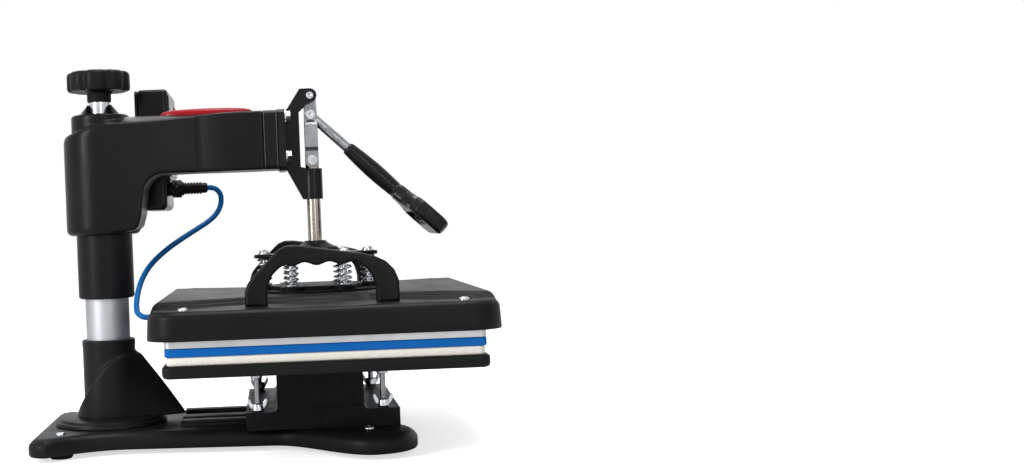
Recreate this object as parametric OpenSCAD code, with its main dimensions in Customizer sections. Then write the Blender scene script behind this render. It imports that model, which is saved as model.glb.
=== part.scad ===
// Combination heat press: a lever toggle lowers a heated plate onto a padded tray.
// The arm that carries the plate swings and slides on a round column.
// Millimetres, +Z up, front towards -Y, origin on the floor under the middle of the machine.

/* [Plates and pads] */
// Width of the heated plate and of the pads
plate_w = 380; // [340:5:420]
// Depth of the heated plate and of the pads
plate_d = 305; // [285:5:325]
// Corner radius of the pads and the heated plate
plate_r = 6; // [3:1:10]
// Thickness of the heated plate
heat_t = 12; // [10:1:16]
// Height of the heated plate that shows below the cover
heat_reveal = 6.7; // [4:0.1:9]
// Thickness of the insulating board above the heated plate
board_t = 9; // [6:1:12]
// Thickness of the foam pad
foam_t = 8.5; // [6:0.5:12]
// Thickness of the silicone pad on the foam
silicone_t = 8.2; // [5:0.1:12]
// Thickness of the lower tray
tray_t = 12; // [10:1:18]
// Width of the tray rim outside the pads
tray_lip = 3; // [2:0.5:6]
// Wall of the pressed tray
tray_wall = 3; // [2:0.5:4]

/* [Cover] */
// Overhang of the cover past the plate at each side
cover_side = 8; // [5:1:14]
// Overhang of the cover past the plate at front and back
cover_end = 17.5; // [12:0.5:24]
// Height of the cover at its two wings
wing_h = 28; // [24:1:36]
// Rise of the middle of the cover above the wings
crown_rise = 6; // [3:0.5:10]
// Number of terraces between the wings and the middle
terraces = 4; // [2:1:6]
// Spacing of the terraces
terrace_step = 12.5; // [8:0.5:14]
// Wall of the cover
cover_wall = 3; // [2:0.5:4]
// Corner radius of the cover
cover_r = 30; // [20:1:40]
// Inset of the cover's screws from its side edge
cover_screw_x = 21; // [16:1:24]
// Inset of the cover's screws from its front and back edge
cover_screw_y = 36; // [28:1:44]

/* [Side grips] */
// Distance of a grip's middle from the side edge of the cover
grip_inset = 51; // [46:1:58]
// Length of a grip from foot to foot
grip_len = 150; // [130:2:170]
// Height of a grip at its back
grip_h = 58; // [50:1:66]
// Drop of a grip's back towards the front
grip_drop = 15; // [8:1:18]
// Length of each foot of a grip
grip_foot = 23; // [18:1:26]
// Thickness of the bar at the front of a grip
grip_bar = 6; // [4:0.5:8]
// Width of a grip
grip_w = 22; // [18:1:26]

/* [Spring stack] */
// Radius of the circle that the springs stand on
spring_circle = 56; // [48:1:58]
// Number of springs
springs_n = 6; // [4:1:6]
// Free length of a spring as mounted
spring_len = 30; // [24:1:36]
// Outside radius of a spring
spring_r = 8; // [6:0.5:9]
// Wire diameter of a spring
wire_d = 2; // [1.6:0.1:2.4]
// Turns of a spring
spring_turns = 6; // [4:1:7]
// Radius of the bolts inside the springs
spring_bolt_r = 3; // [2:0.5:3.5]
// Thickness of the upper and lower spring plates
spring_plate_t = 4; // [3:0.5:6]
// Radius of the ring on the cover
ring_r = 75; // [72:1:80]
// Thickness of the ring on the cover
ring_t = 2; // [1.5:0.5:4]

/* [Ram and toggle] */
// Radius of the ram
ram_r = 7.5; // [6.5:0.5:9]
// Height of the hub that holds the ram
hub_h = 13; // [10:1:18]
// Lift of the plate from closed to open
lift = 42; // [36:1:46]
// Gap left between the ram's hub and its guide when open
stop_gap = 2.8; // [1:0.2:5]
// Length of the guide that the ram slides in
guide_h = 33; // [28:1:40]
// Wall of the guide
guide_wall = 3; // [2.5:0.5:5]
// Distance between the lever's two pins
crank = 21; // [18:0.5:23]
// Distance between the link's two pins
link_len = 49; // [46:1:54]
// Radius of the toggle's pins
pin_r = 4; // [3:0.5:4.5]
// Thickness of the lever bar
bar_t = 6.5; // [5:0.5:8]
// Height of the lever bar
bar_h = 11; // [10:0.5:13]
// Thickness of each link strip
strip_t = 3; // [2:0.5:4]
// Width of each link strip
strip_w = 14; // [12:0.5:15]
// Thickness of each bracket ear
ear_t = 5; // [4:0.5:6]

/* [Lever handle] */
// Angle of the lever below level when closed
lever_down = 43.5; // [38:0.5:46]
// Distance from the link pin to the start of the handle
rod_len = 53; // [46:1:60]
// Distance from the link pin to the handle's end
lever_len = 188; // [182:1:205]
// Radius of the handle's neck
neck_r = 8.5; // [8:0.5:10]
// Width of the handle's loop
loop_w = 99; // [90:1:110]
// Length of the handle's loop
loop_len = 48; // [44:1:54]
// Thickness of the handle's loop
loop_t = 17; // [14:1:20]
// Width of the loop's side bars
loop_side = 9; // [7:0.5:11]
// Depth of the loop's finger bar
loop_grip = 21; // [18:1:23]

/* [Arm and column] */
// Radius of the column tube
tube_r = 23.5; // [21:0.5:25]
// Wall of the column tube
tube_wall = 3; // [2.5:0.5:4]
// Wall of the sleeve that slides on the tube
sleeve_wall = 6.5; // [5:0.5:8]
// Length of the sleeve that shows below the arm's housing
sleeve_show = 68; // [55:1:70]
// Wall of the arm's housing
housing_wall = 10; // [8:0.5:12]
// Drop of the housing below the arm
housing_drop = 63; // [50:1:66]
// Height of the arm
arm_h = 64; // [60:1:72]
// Width of the arm
arm_w = 69; // [64:1:72]
// Clear distance from the cover to the column's axis
column_clear = 58; // [52:1:64]
// Length of the block at the end of the arm
end_block = 16; // [12:1:20]
// Length of the raised inlay on the arm
inlay_len = 100; // [80:2:104]
// Width of the raised inlay on the arm
inlay_w = 28; // [20:1:34]
// Height of the raised inlay on the arm
inlay_h = 6; // [3:0.5:8]
// Radius of the height screw
screw_r = 11; // [9:0.5:12]
// Radius of the knob
knob_r = 34; // [30:1:38]
// Height of the knob
knob_h = 22; // [18:1:26]
// Number of scallops around the knob
knob_lobes = 8; // [6:1:10]

/* [Control box] */
// Width of the control box
box_w = 102; // [96:1:120]
// Height of the control box
box_h = 136; // [128:1:150]
// Depth of the control box
box_d = 34; // [30:1:44]
// Wall of the control box
box_wall = 2.5; // [2:0.5:3]
// Gap between the arm and the control box
box_gap = 14.5; // [12:0.5:20]
// Width of a push button
button_w = 16.6; // [14:0.2:18]
// Height of a push button
button_h = 10; // [8:0.5:12]
// Spacing of the push buttons
button_pitch = 19.3; // [17:0.1:21]
// Travel of a push button
button_travel = 1.2; // [0.8:0.1:1.5]

/* [Base] */
// Height of the rubber feet
foot_h = 5; // [4:0.5:8]
// Thickness of the base plate
base_t = 19; // [16:0.5:22]
// Half width of the base at its front lobes
front_half = 160; // [140:1:165]
// Half width of the base at its waist
waist_half = 72; // [68:1:80]
// Half width of the base at its back
rear_half = 106; // [100:1:115]
// Reach of the base in front of the press axis
base_front = 91; // [84:1:96]
// Reach of the base behind the column's axis
base_behind = 75; // [70:1:84]
// Radius of the front lobes
lobe_r = 48; // [40:1:50]
// Height of the pedestal under the tray
pedestal_h = 65.5; // [60:0.5:74]
// Wall of the hollow pedestal
pedestal_wall = 5; // [4:0.5:10]
// Height of the socket that holds the column
socket_h = 91; // [84:1:98]
// Wall of the socket
socket_wall = 5.2; // [4:0.2:7]
// Radius of the socket's foot
flange_r = 60; // [54:1:64]
// Radius of the tray's clamping studs
stud_r = 3; // [2.5:0.5:4]

/* [Fits] */
// Radial clearance of parts that turn or slide in each other
run_gap = 0.05; // [0.02:0.01:0.08]
// Clearance of parts that pass each other
pass_gap = 0.3; // [0.2:0.05:0.4]
// Radial clearance of parts that are fixed in each other
seat_gap = 0.02; // [0.01:0.01:0.05]

/* [Hidden] */
$fn = 64;

black = "#1c1d1f";
dark_grey = "#2b2d30";
steel = "#b9bcc0";

// Plan sizes, measured from the press axis
cover_w = plate_w + 2 * cover_side;
cover_d = plate_d + 2 * cover_end;
column_y = cover_d / 2 + column_clear;
base_back = column_y + base_behind;
press_y = (cover_d / 2 - base_back) / 2;
tray_w = plate_w + 2 * tray_lip;
tray_d = plate_d + 2 * tray_lip;

// Heights, from the floor up
base_top = foot_h + base_t;
socket_top = base_top + socket_h;
tray_z = base_top + pedestal_h;
foam_z = tray_z + tray_t;
silicone_z = foam_z + foam_t;
heat_z = silicone_z + silicone_t + pass_gap;
board_z = heat_z + heat_t;
cover_z = heat_z + heat_reveal;
wing_z = cover_z + wing_h;
crown_z = wing_z + crown_rise;
lower_plate_z = crown_z + ring_t;
spring_z = lower_plate_z + spring_plate_t;
upper_plate_z = spring_z + spring_len;
upper_plate_top = upper_plate_z + spring_plate_t;
hub_top = upper_plate_top + hub_h;
guide_z = hub_top + lift + stop_gap;
guide_top = guide_z + guide_h;
ram_pin_z = guide_top + 9;
pivot_z = ram_pin_z + link_len + crank;
link_pin_z = pivot_z - crank;
arm_z = guide_top;
arm_top = arm_z + arm_h;
housing_z = arm_z - housing_drop;
sleeve_z = housing_z - sleeve_show;
hub_cap_top = arm_top + 3;
knob_z = hub_cap_top + 25;

// Radii of the nested column pieces
sleeve_r = tube_r + sleeve_wall;
housing_r = sleeve_r + housing_wall;
hub_cap_r = sleeve_r + 1;
socket_r = tube_r + socket_wall;
sleeve_top = arm_top - 25;
tube_top = arm_top - 30;
tube_nut_h = 20;
screw_low = tube_top - tube_nut_h - 12;

// Toggle sizes across the machine
bar_half = bar_t / 2;
slot_half = bar_half + pass_gap;
ear_out = slot_half + ear_t;
bow_in = ear_out + 3 * pass_gap;
strip_end = 7;
flat_below = 12;
tang_half = ram_r - 0.5;
link_low_in = tang_half + pass_gap;
web_half = ear_out;
web_front = 12.5;
web_back = 28;
rod_end = rod_len + 28;
flange_t = 8;
arm_front = web_back + flange_t + end_block;
bolt_x = 21;
bolt_r = 3.5;
bolt_rows = [arm_z + 13.5, arm_top - 8];

// Control box places
box_x = arm_w / 2 + box_gap;
box_y = column_y - 70;
box_z = arm_z - 38;
panel_t = 1.2;
panel_h = 92;
display_w = 38;
display_h = 21;
display_x = box_x + 40;
display_rows = [box_z + box_h - 31, box_z + box_h - 61];
lamp_r = 2.2;
lamp_pitch = 15;
lamp_z = box_z + box_h - 80;
button_proud = 2;
button_depth = 8;
button_x = box_x + box_w - 18.5;
button_top = box_z + box_h - 19.5;
board_rise = 0.44 * box_h;
plug_x = box_x + 29;
plug_z = box_z + 24;
inlet_w = 28;
inlet_h = 20;
inlet_rise = 16;
socket_neck_r = 8;
switch_w = 13;
switch_h = 20;
switch_y = box_y + box_d / 2;
switch_z = box_z + 44;
rocker_tilt = 8;
rocker_back = 5;

// Base places
lobe_x = front_half - lobe_r;
lobe_y = lobe_r - base_front;
lobe_sweep = 140;
rear_corner = 20;
corner_y = base_back - rear_corner;
waist_y = column_y - 23;
waist_spread = 0.08;
front_blend = 95;
front_dip = 30;
foot_rear = [rear_half - 33, base_back - 31];
edge_rise = 8;
edge_run = 8;
spine_h = 6;
flange_h = 5;
flange_bevel = 3;
fin_reach = 17;
fin_r = 7;
foot_front = [lobe_x, lobe_y];
pedestal_back = 80;
pedestal_core = 98;
pedestal_front = -76;
block_front = -40;
block_back = 48;
shoulder_z = base_top + 18;
shoulder_fillet = 5;
spine_back = column_y - flange_r - 16;
stud_x = 88;
stud_y = [-60, 68];
stud_seat = 10;
wing_nut_h = 8;
wing_rise = 13;
gland_x = -60;
gland_z = cover_z + 15;

// Route of the heater lead, from the plug on the control box to the gland at the back of the cover
cable_r = 3;
cable_gap = 0.05;
cable_route = [[78, 118, 276], [78, 115.5, 276], [78, 110.4, 274.9], [78, 106.4, 272],
               [77.8, 103.8, 267.8], [77.5, 103.1, 262.6], [76.6, 103.9, 256], [74.4, 107, 248.8],
               [70.4, 112.6, 242], [64.6, 120.2, 236], [57.4, 129, 230.5], [49, 138, 225],
               [39.5, 147.5, 219], [28.5, 157.5, 212.3], [16.5, 167, 204.8], [4, 175.5, 196.8],
               [-8, 182.3, 188], [-19, 187.2, 178.3], [-29, 190.1, 168.6], [-37.6, 191.3, 160.4],
               [-44.6, 191.5, 154], [-50.4, 191, 148.8], [-54.1, 190, 145.4], [-57.2, 187.2, 142.6],
               [-59.3, 183, 140.7], [-60, 178, 140.2], [-60, 174, 140.2]];
spring_points = spring_path(spring_r - wire_d / 2, spring_len, spring_turns, wire_d);
echo(least_spring_gap = self_gap(spring_points, 6) - wire_d);

function unit(v) = v / norm(v);
function smooth(t) = let(u = max(0, min(1, t))) u * u * (3 - 2 * u);
function arc(c, r, a0, a1, n) =
    [for (i = [0:n]) c + r * [cos(a0 + (a1 - a0) * i / n), sin(a0 + (a1 - a0) * i / n)]];
function mirrored(p) = [for (i = [len(p) - 1:-1:0]) [-p[i][0], p[i][1]]];
function tangent(p, i) = unit(p[min(i + 1, len(p) - 1)] - p[max(i - 1, 0)]);
function carry(p, i, n) = unit(n - (n * tangent(p, i)) * tangent(p, i));
function normals(p, n, i = 0) =
    i == len(p) ? [] : let(m = carry(p, i, n)) concat([m], normals(p, m, i + 1));
function ring_points(c, t, n, r, sides) =
    [for (k = [0:sides - 1]) c + r * (cos(360 * k / sides) * n + sin(360 * k / sides) * cross(t, n))];
function self_gap(p, apart) =
    min([for (i = [0:len(p) - 1 - apart]) for (j = [i + apart:len(p) - 1]) norm(p[i] - p[j])]);

// A wire helix whose two ends stand straight for one wire diameter
function spring_path(r, height, turns, wire) =
    let(steps = 8 * turns, rise = (height - 2 * wire) / steps)
    concat([[r, 0, 0]],
           [for (k = [0:steps]) [r * cos(45 * k), r * sin(45 * k), wire + rise * k]],
           [[r, 0, height]]);

// Half width of the base between its back corners and its front lobes
function base_half(y) =
    let(flare = max(0, (y - waist_y) / (corner_y - waist_y)), lead = max(0, waist_y - y))
    waist_half + (rear_half - waist_half) * flare * flare + waist_spread * lead
    + (front_half - waist_half - waist_spread * (waist_y - lobe_y)) * smooth(1 - (y - lobe_y) / front_blend);
function base_side(inset) = concat(
    arc([rear_half - rear_corner, corner_y], rear_corner - inset, 90, 0, 8),
    [for (i = [1:15]) let(y = corner_y + (lobe_y - corner_y) * i / 16) [base_half(y) - inset, y]],
    arc([lobe_x, lobe_y], lobe_r - inset, 0, -lobe_sweep, 12),
    [[0.4 * lobe_x, front_dip + inset - base_front], [0, front_dip + 2 + inset - base_front]]);

// Half width of a terrace on the cover: a kinked wave, wider at front and back
function terrace_half(y, k) =
    let(kink = 0.18 * cover_d, a = abs(y))
    0.2 * cover_w + k * terrace_step
    + (a < kink ? 5 + 5 * cos(180 * y / kink) : 50 * (a - kink) / (cover_d / 2 - kink));
function terrace_side(k, reach) =
    [for (i = [0:32]) let(y = reach - 2 * reach * i / 32) [min(terrace_half(y, k), cover_w / 2 - 12), y]];

module at_press() translate([0, press_y, 0]) children();

module slab(w, d, h, r) {
    linear_extrude(h) union() {
        square([w - 2 * r, d], center = true);
        square([w, d - 2 * r], center = true);
        for (x = [-1, 1], y = [-1, 1]) translate([x * (w / 2 - r), y * (d / 2 - r)]) circle(r);
    }
}

// Extrudes an outline drawn in (Y, Z) across the machine, from x0 to x1
module across(x0, x1) {
    translate([x0, 0, 0]) rotate([90, 0, 90]) linear_extrude(x1 - x0) children();
}

module tube(p, r, sides, first_normal) {
    n = normals(p, first_normal);
    last = len(p) - 1;
    points = [for (i = [0:last]) each ring_points(p[i], tangent(p, i), n[i], r, sides)];
    walls = [for (i = [0:last - 1]) for (k = [0:sides - 1])
        let(a = i * sides + k, b = i * sides + (k + 1) % sides)
        each [[a, a + sides, b + sides], [a, b + sides, b]]];
    caps = [for (k = [1:sides - 2]) each [[0, k, k + 1],
        [last * sides, last * sides + k + 1, last * sides + k]]];
    polyhedron(points, concat(walls, caps));
}

// A pan-head screw with a cross recess, standing on its seat
module pan_screw(r, h) {
    difference() {
        union() {
            cylinder(r = r, h = 0.6 * h);
            translate([0, 0, 0.6 * h]) cylinder(r1 = r, r2 = 0.7 * r, h = 0.4 * h);
        }
        for (a = [0, 90]) rotate(a) translate([-0.55 * r, -0.12 * r, 0.6 * h]) cube([1.1 * r, 0.24 * r, h]);
    }
}

module base_plate() color(black) at_press() {
    shelf = 18;
    step = 3;
    difference() {
        union() {
            for (tier = [[0, foot_h, base_top - edge_rise], [step, base_top - edge_rise, base_top - step],
                         [edge_run, base_top - step, base_top]])
                translate([0, 0, tier[1]]) linear_extrude(tier[2] - tier[1])
                    polygon(concat(base_side(tier[0]), mirrored(base_side(tier[0]))));
            translate([0, (spine_back + pedestal_back) / 2, base_top])
                slab(2 * (waist_half - shelf), spine_back - pedestal_back, spine_h, spine_h);
        }
        translate([0, 0, foot_h - 1]) linear_extrude(base_t - 4)
            polygon(concat(base_side(shelf), mirrored(base_side(shelf))));
    }
    // Bosses that back the feet and their screws
    for (x = [-1, 1], p = [foot_rear, foot_front])
        translate([x * p[0], p[1], foot_h]) cylinder(r = 14, h = base_t - 4);
}

module rubber_feet() color("#151515") at_press()
    for (x = [-1, 1], p = [foot_rear, foot_front])
        translate([x * p[0], p[1], 0]) {
            cylinder(r1 = 10.5, r2 = 12, h = 1.5);
            translate([0, 0, 1.5]) cylinder(r = 12, h = foot_h - 1.5);
        }

module foot_screws() color(steel) at_press()
    for (x = [-1, 1], p = [foot_rear, foot_front])
        translate([x * p[0], p[1], base_top]) pan_screw(4.5, 2.6);

module column_socket() color(black) at_press() translate([0, column_y, 0]) {
    skirt_top = socket_top - 15;
    skirt_low = base_top + flange_h + flange_bevel;
    difference() {
        union() {
            translate([0, 0, base_top]) cylinder(r = flange_r, h = flange_h);
            translate([0, 0, base_top + flange_h])
                cylinder(r1 = flange_r, r2 = flange_r - flange_bevel, h = flange_bevel);
            translate([0, 0, base_top]) cylinder(r = socket_r, h = socket_h - 2);
            translate([0, 0, socket_top - 2]) cylinder(r1 = socket_r, r2 = socket_r - 1.5, h = 2);
            hull() {
                translate([0, 0, skirt_low]) cylinder(r = socket_r + 5, h = 1, $fn = 32);
                translate([0, -column_clear - fin_reach, skirt_low]) cylinder(r = fin_r, h = 1, $fn = 32);
                translate([0, 0, skirt_top]) cylinder(r = socket_r, h = 1, $fn = 32);
            }
        }
        translate([0, 0, base_top + 4]) cylinder(r = tube_r + seat_gap, h = socket_h);
    }
}

module column_tube() color(steel) at_press() translate([0, column_y, base_top + 4]) difference() {
    cylinder(r = tube_r, h = tube_top - base_top - 4);
    translate([0, 0, -1]) cylinder(r = tube_r - tube_wall, h = tube_top);
}

module tube_nut() color("#8a7a4a") at_press() translate([0, column_y, tube_top - tube_nut_h]) difference() {
    cylinder(r = tube_r - tube_wall - seat_gap, h = tube_nut_h);
    translate([0, 0, -1]) cylinder(r = screw_r + run_gap, h = tube_nut_h + 2);
}

module tray_pedestal() color(black) at_press() {
    room = pedestal_core - pedestal_wall;
    fillet = shoulder_fillet;
    difference() {
        across(-pedestal_core, pedestal_core)
            polygon(concat(
                [[pedestal_front, base_top], [pedestal_front, shoulder_z]],
                arc([block_front - fillet, shoulder_z + fillet], fillet, -90, 0, 6),
                [[block_front, tray_z], [block_back, tray_z]],
                arc([block_back + fillet, shoulder_z + fillet], fillet, 180, 270, 6),
                [[pedestal_back, shoulder_z], [pedestal_back, base_top]]));
        for (x = [-1, 1], y = stud_y)
            translate([x * stud_x, y, shoulder_z - stud_seat])
                cylinder(r = stud_r + seat_gap, h = stud_seat + 1);
        translate([-room, block_front + pedestal_wall, base_top - 1])
            cube([2 * room, block_back - block_front - 2 * pedestal_wall, pedestal_h - pedestal_wall]);
    }
}

module lower_tray() color(dark_grey) at_press() difference() {
    union() {
        translate([0, 0, tray_z]) slab(tray_w, tray_d, tray_t - 2, plate_r + tray_lip);
        translate([0, 0, foam_z - 2]) slab(tray_w - 3, tray_d - 3, 2, plate_r + tray_lip - 1.5);
    }
    for (x = [-1, 1])
        translate([x * (tray_w / 4 + 26), 0, tray_z - 1])
            slab(tray_w / 2 - 66, tray_d - 2 * tray_wall - 24, tray_t - tray_wall + 1, plate_r);
}

module foam_pad() color("#d9d4c6") at_press()
    translate([0, 0, foam_z]) slab(plate_w - 3, plate_d - 3, foam_t, plate_r);

module silicone_pad() color("#0f62b4") at_press()
    translate([0, 0, silicone_z]) slab(plate_w, plate_d, silicone_t, plate_r);

module tray_studs() color(steel) at_press()
    for (x = [-1, 1], y = stud_y)
        translate([x * stud_x, y, shoulder_z - stud_seat])
            cylinder(r = stud_r, h = tray_z - shoulder_z + stud_seat);

// A butterfly nut that clamps the tray's stud down on the pedestal's shoulder
module wing_nut(x, y) color(steel) at_press() translate([x, y, shoulder_z + pass_gap]) {
    wing_t = 3;
    difference() {
        union() {
            cylinder(r1 = stud_r + 4.5, r2 = stud_r + 2.5, h = wing_nut_h);
            for (a = [90, 270])
                rotate(a) rotate([90, 0, 0]) translate([0, 0, -wing_t / 2]) linear_extrude(wing_t)
                    polygon([[stud_r + 1, 1], [stud_r + 4, 1], [stud_r + 10, 8], [stud_r + 10.5, wing_rise],
                             [stud_r + 7, wing_rise], [stud_r + 3, 6.5], [stud_r + 1, 6]]);
        }
        translate([0, 0, -1]) cylinder(r = stud_r + run_gap, h = wing_nut_h + wing_rise);
    }
}

module column_sleeve() color(dark_grey) at_press() translate([0, column_y, sleeve_z]) difference() {
    union() {
        cylinder(r1 = sleeve_r - 1.5, r2 = sleeve_r, h = 2);
        translate([0, 0, 2]) cylinder(r = sleeve_r, h = sleeve_top - sleeve_z - 2);
    }
    translate([0, 0, -1]) cylinder(r = tube_r + run_gap, h = sleeve_top - sleeve_z + 2);
}

module arm_casting() color(dark_grey) at_press() {
    fillet = 22;
    throat = column_y - housing_r - 7;
    difference() {
        union() {
            translate([0, column_y, housing_z]) cylinder(r = housing_r, h = arm_top - 25 - housing_z);
            translate([0, column_y, arm_top - 25])
                cylinder(r1 = housing_r, r2 = hub_cap_r + 2, h = 4);
            translate([0, column_y, arm_z]) cylinder(r = hub_cap_r, h = hub_cap_top - arm_z);
            across(-arm_w / 2, arm_w / 2) polygon(concat(
                [[arm_front, arm_z], [arm_front, arm_top - 4], [arm_front + 6, arm_top]],
                [[column_y - 30, arm_top], [column_y, arm_top - 8], [column_y, housing_z + 3]],
                [[throat + 6, housing_z + 3], [throat, housing_z + 10]],
                arc([throat - fillet, arm_z - fillet], fillet, 0, 90, 8)));
        }
        translate([0, column_y, housing_z - 1])
            cylinder(r = sleeve_r + run_gap, h = sleeve_top - housing_z + 1.5);
        translate([0, column_y, sleeve_top - 1]) cylinder(r = screw_r + run_gap, h = arm_h);
    }
}

// An almond, the overlap of two large circles
module almond(length, width) {
    r = (length * length + width * width) / (4 * width);
    intersection() {
        translate([r - width / 2, 0]) circle(r, $fn = 128);
        translate([width / 2 - r, 0]) circle(r, $fn = 128);
    }
}

module arm_inlay() color("#c8202f") at_press() {
    middle = arm_front + 10 + inlay_len / 2;
    translate([0, middle, arm_top]) linear_extrude(0.6 * inlay_h) almond(inlay_len, inlay_w);
    translate([0, middle, arm_top + 0.6 * inlay_h])
        linear_extrude(0.4 * inlay_h) almond(inlay_len - 8, inlay_w - 8);
}

module arm_end_block() color(black) at_press() difference() {
    translate([0, arm_front, arm_z + arm_h / 2 - 0.5]) rotate([90, 0, 0])
        slab(arm_w - 4, arm_h - 1, end_block, 6);
    for (x = [-bolt_x, bolt_x], z = bolt_rows)
        translate([x, arm_front + 1, z]) rotate([90, 0, 0])
            cylinder(r = bolt_r + seat_gap, h = end_block + 2);
}

module toggle_bracket() color(black) at_press() {
    guide_r = ram_r + guide_wall;
    ear_r = 7.5;
    ear_lead = 10;
    difference() {
        union() {
            translate([0, web_back + flange_t, arm_z + arm_h / 2 - 1]) rotate([90, 0, 0])
                slab(arm_w - 7, arm_h + 2, flange_t, 7);
            across(-web_half, web_half) polygon(concat(
                [[web_back, guide_top], [web_back, arm_top - 1], [web_back - 3.5, arm_top + 2]],
                [[11, pivot_z + ear_r], [0, pivot_z + ear_r]],
                arc([0, pivot_z], ear_r, 90 + ear_lead, 270 - ear_lead, 10),
                [[5, pivot_z - ear_r - 3], [web_front, pivot_z - ear_r - 10], [web_front, guide_top + 2]],
                [[0, guide_top - 1], [0, guide_z], [11, guide_z]]));
            translate([0, 0, guide_z]) cylinder(r = guide_r, h = guide_h);
        }
        translate([0, 0, guide_z - 1]) cylinder(r = ram_r + run_gap, h = guide_h + 2);
        translate([-slot_half, -20, pivot_z - 22]) cube([2 * slot_half, 29, 60]);
        translate([-ear_out - 1, 0, pivot_z]) rotate([0, 90, 0])
            cylinder(r = pin_r + seat_gap, h = 2 * ear_out + 2);
        for (x = [-bolt_x, bolt_x], z = bolt_rows)
            translate([x, web_back + flange_t + 1, z]) rotate([90, 0, 0])
                cylinder(r = bolt_r + seat_gap, h = flange_t + 2);
    }
}

module bracket_bolts() color(steel) at_press()
    for (x = [-bolt_x, bolt_x], z = bolt_rows)
        translate([x, web_back, z]) rotate([90, 0, 0]) {
            cylinder(r = 7.2, h = 1.4);
            translate([0, 0, 1.4]) cylinder(r = 6.5, h = 4.6, $fn = 6);
            translate([0, 0, 2 - flange_t - end_block]) cylinder(r = bolt_r, h = flange_t + end_block - 2);
        }

module lever_pivot_pin() color(steel) at_press()
    translate([-ear_out, 0, pivot_z]) rotate([0, 90, 0]) difference() {
        cylinder(r = pin_r, h = 2 * ear_out);
        for (x = [-1, 2 * ear_out - 1]) translate([0, 0, x]) cylinder(r = 0.5 * pin_r, h = 2, $fn = 6);
    }

module screw_boss() color(dark_grey) at_press() translate([0, column_y, hub_cap_top]) difference() {
    cylinder(r1 = 22, r2 = screw_r + 2, h = 11);
    translate([0, 0, -1]) cylinder(r = screw_r + pass_gap, h = 13);
    translate([-30, -screw_r - 2, -1]) cube([28, 2 * screw_r + 4, 14]);
}

module height_knob() color(black) at_press() translate([0, column_y, knob_z]) difference() {
    union() {
        translate([0, 0, -12]) cylinder(r = screw_r + 2, h = 12.1);
        cylinder(r1 = knob_r - 4, r2 = knob_r, h = 4);
        translate([0, 0, 4]) cylinder(r = knob_r, h = knob_h - 7);
        translate([0, 0, knob_h - 3]) cylinder(r1 = knob_r, r2 = knob_r - 3, h = 3);
    }
    for (k = [0:knob_lobes - 1])
        rotate(360 * (k + 0.5) / knob_lobes) translate([knob_r + 6, 0, -1]) cylinder(r = 9, h = knob_h + 2);
    translate([0, 0, knob_h - 1]) difference() {
        cylinder(r = knob_r - 10, h = 2);
        translate([0, 0, -1]) cylinder(r = knob_r - 12, h = 4);
    }
    translate([0, 0, -13]) cylinder(r = screw_r + seat_gap, h = 13 + 0.5 * knob_h);
}

module height_screw() color(steel) at_press()
    translate([0, column_y, screw_low]) cylinder(r = screw_r, h = knob_z + 0.5 * knob_h - screw_low);

module box_bracket() color(black) at_press()
    translate([arm_w / 2, box_y + 6, arm_z + 19]) cube([box_gap, box_d - 14, arm_h - 21]);

// A rounded bar outline standing in the (X, Z) plane, facing the front
module pill(w, h) {
    union() {
        square([w - h, h], center = true);
        for (x = [-1, 1]) translate([x * (w - h) / 2, 0]) circle(h / 2);
    }
}

module facing_front(x, y, z, depth) {
    translate([x, y, z]) rotate([90, 0, 0]) translate([0, 0, -depth]) linear_extrude(depth) children();
}

module button_cuts(depth, gap) {
    for (k = [0:3])
        facing_front(button_x, box_y - 2, button_top - k * button_pitch, depth)
            pill(button_w + 2 * gap, button_h + 2 * gap);
}

module box_shell() color(black) at_press() difference() {
    translate([box_x + box_w / 2, box_y + box_d, box_z + box_h / 2]) rotate([90, 0, 0])
        slab(box_w, box_h, box_d, 7);
    translate([box_x + box_w / 2, box_y + box_d + 1, box_z + box_h / 2]) rotate([90, 0, 0])
        slab(box_w - 2 * box_wall, box_h - 2 * box_wall, box_d - box_wall + 1, 5);
    button_cuts(2 + 2 * box_wall, pass_gap);
    translate([plug_x, box_y + 2 * box_wall, plug_z]) rotate([90, 0, 0])
        cylinder(r = socket_neck_r + seat_gap, h = 3 * box_wall);
    translate([box_x + box_w - 2 * box_wall, switch_y - switch_w / 2, switch_z - switch_h / 2])
        cube([3 * box_wall, switch_w, switch_h]);
}

module box_back() color(black) at_press() difference() {
    translate([box_x + box_w / 2, box_y + box_d + 3, box_z + box_h / 2]) rotate([90, 0, 0])
        slab(box_w - 2, box_h - 2, 3, 6);
    translate([box_x + (box_w - inlet_w) / 2, box_y + box_d - 1, box_z + inlet_rise])
        cube([inlet_w, 6, inlet_h]);
}

module circuit_board() color("#1d5c3a") at_press() {
    inset = box_wall + 2.5;
    translate([box_x + inset, box_y + button_depth + button_travel + pass_gap, box_z + board_rise])
        cube([box_w - 2 * inset, 1.6, box_h - board_rise - inset]);
}

module panel_outline() {
    corner = 4;
    half_w = box_w / 2 - 5;
    half_h = panel_h / 2;
    translate([box_x + box_w / 2, box_z + box_h - 6 - half_h]) union() {
        square([2 * half_w, panel_h - 2 * corner], center = true);
        square([2 * (half_w - corner), panel_h], center = true);
        for (x = [-1, 1], z = [-1, 1])
            translate([x * (half_w - corner), z * (half_h - corner)]) circle(corner);
    }
}

module control_panel() color("#0b0c0d") at_press() difference() {
    facing_front(0, box_y - panel_t, 0, panel_t) panel_outline();
    button_cuts(panel_t + 4, pass_gap);
    for (z = display_rows)
        facing_front(display_x, box_y - panel_t - 1, z, panel_t + 2)
            square([display_w, display_h], center = true);
    for (k = [-1:1])
        facing_front(display_x + lamp_pitch * k, box_y - panel_t - 1, lamp_z, panel_t + 2) circle(lamp_r);
}

module display_windows() color("#10141a") at_press()
    for (z = display_rows)
        facing_front(display_x, box_y - panel_t + 0.2, z, panel_t - 0.2)
            square([display_w - 2 * seat_gap, display_h - 2 * seat_gap], center = true);

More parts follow.
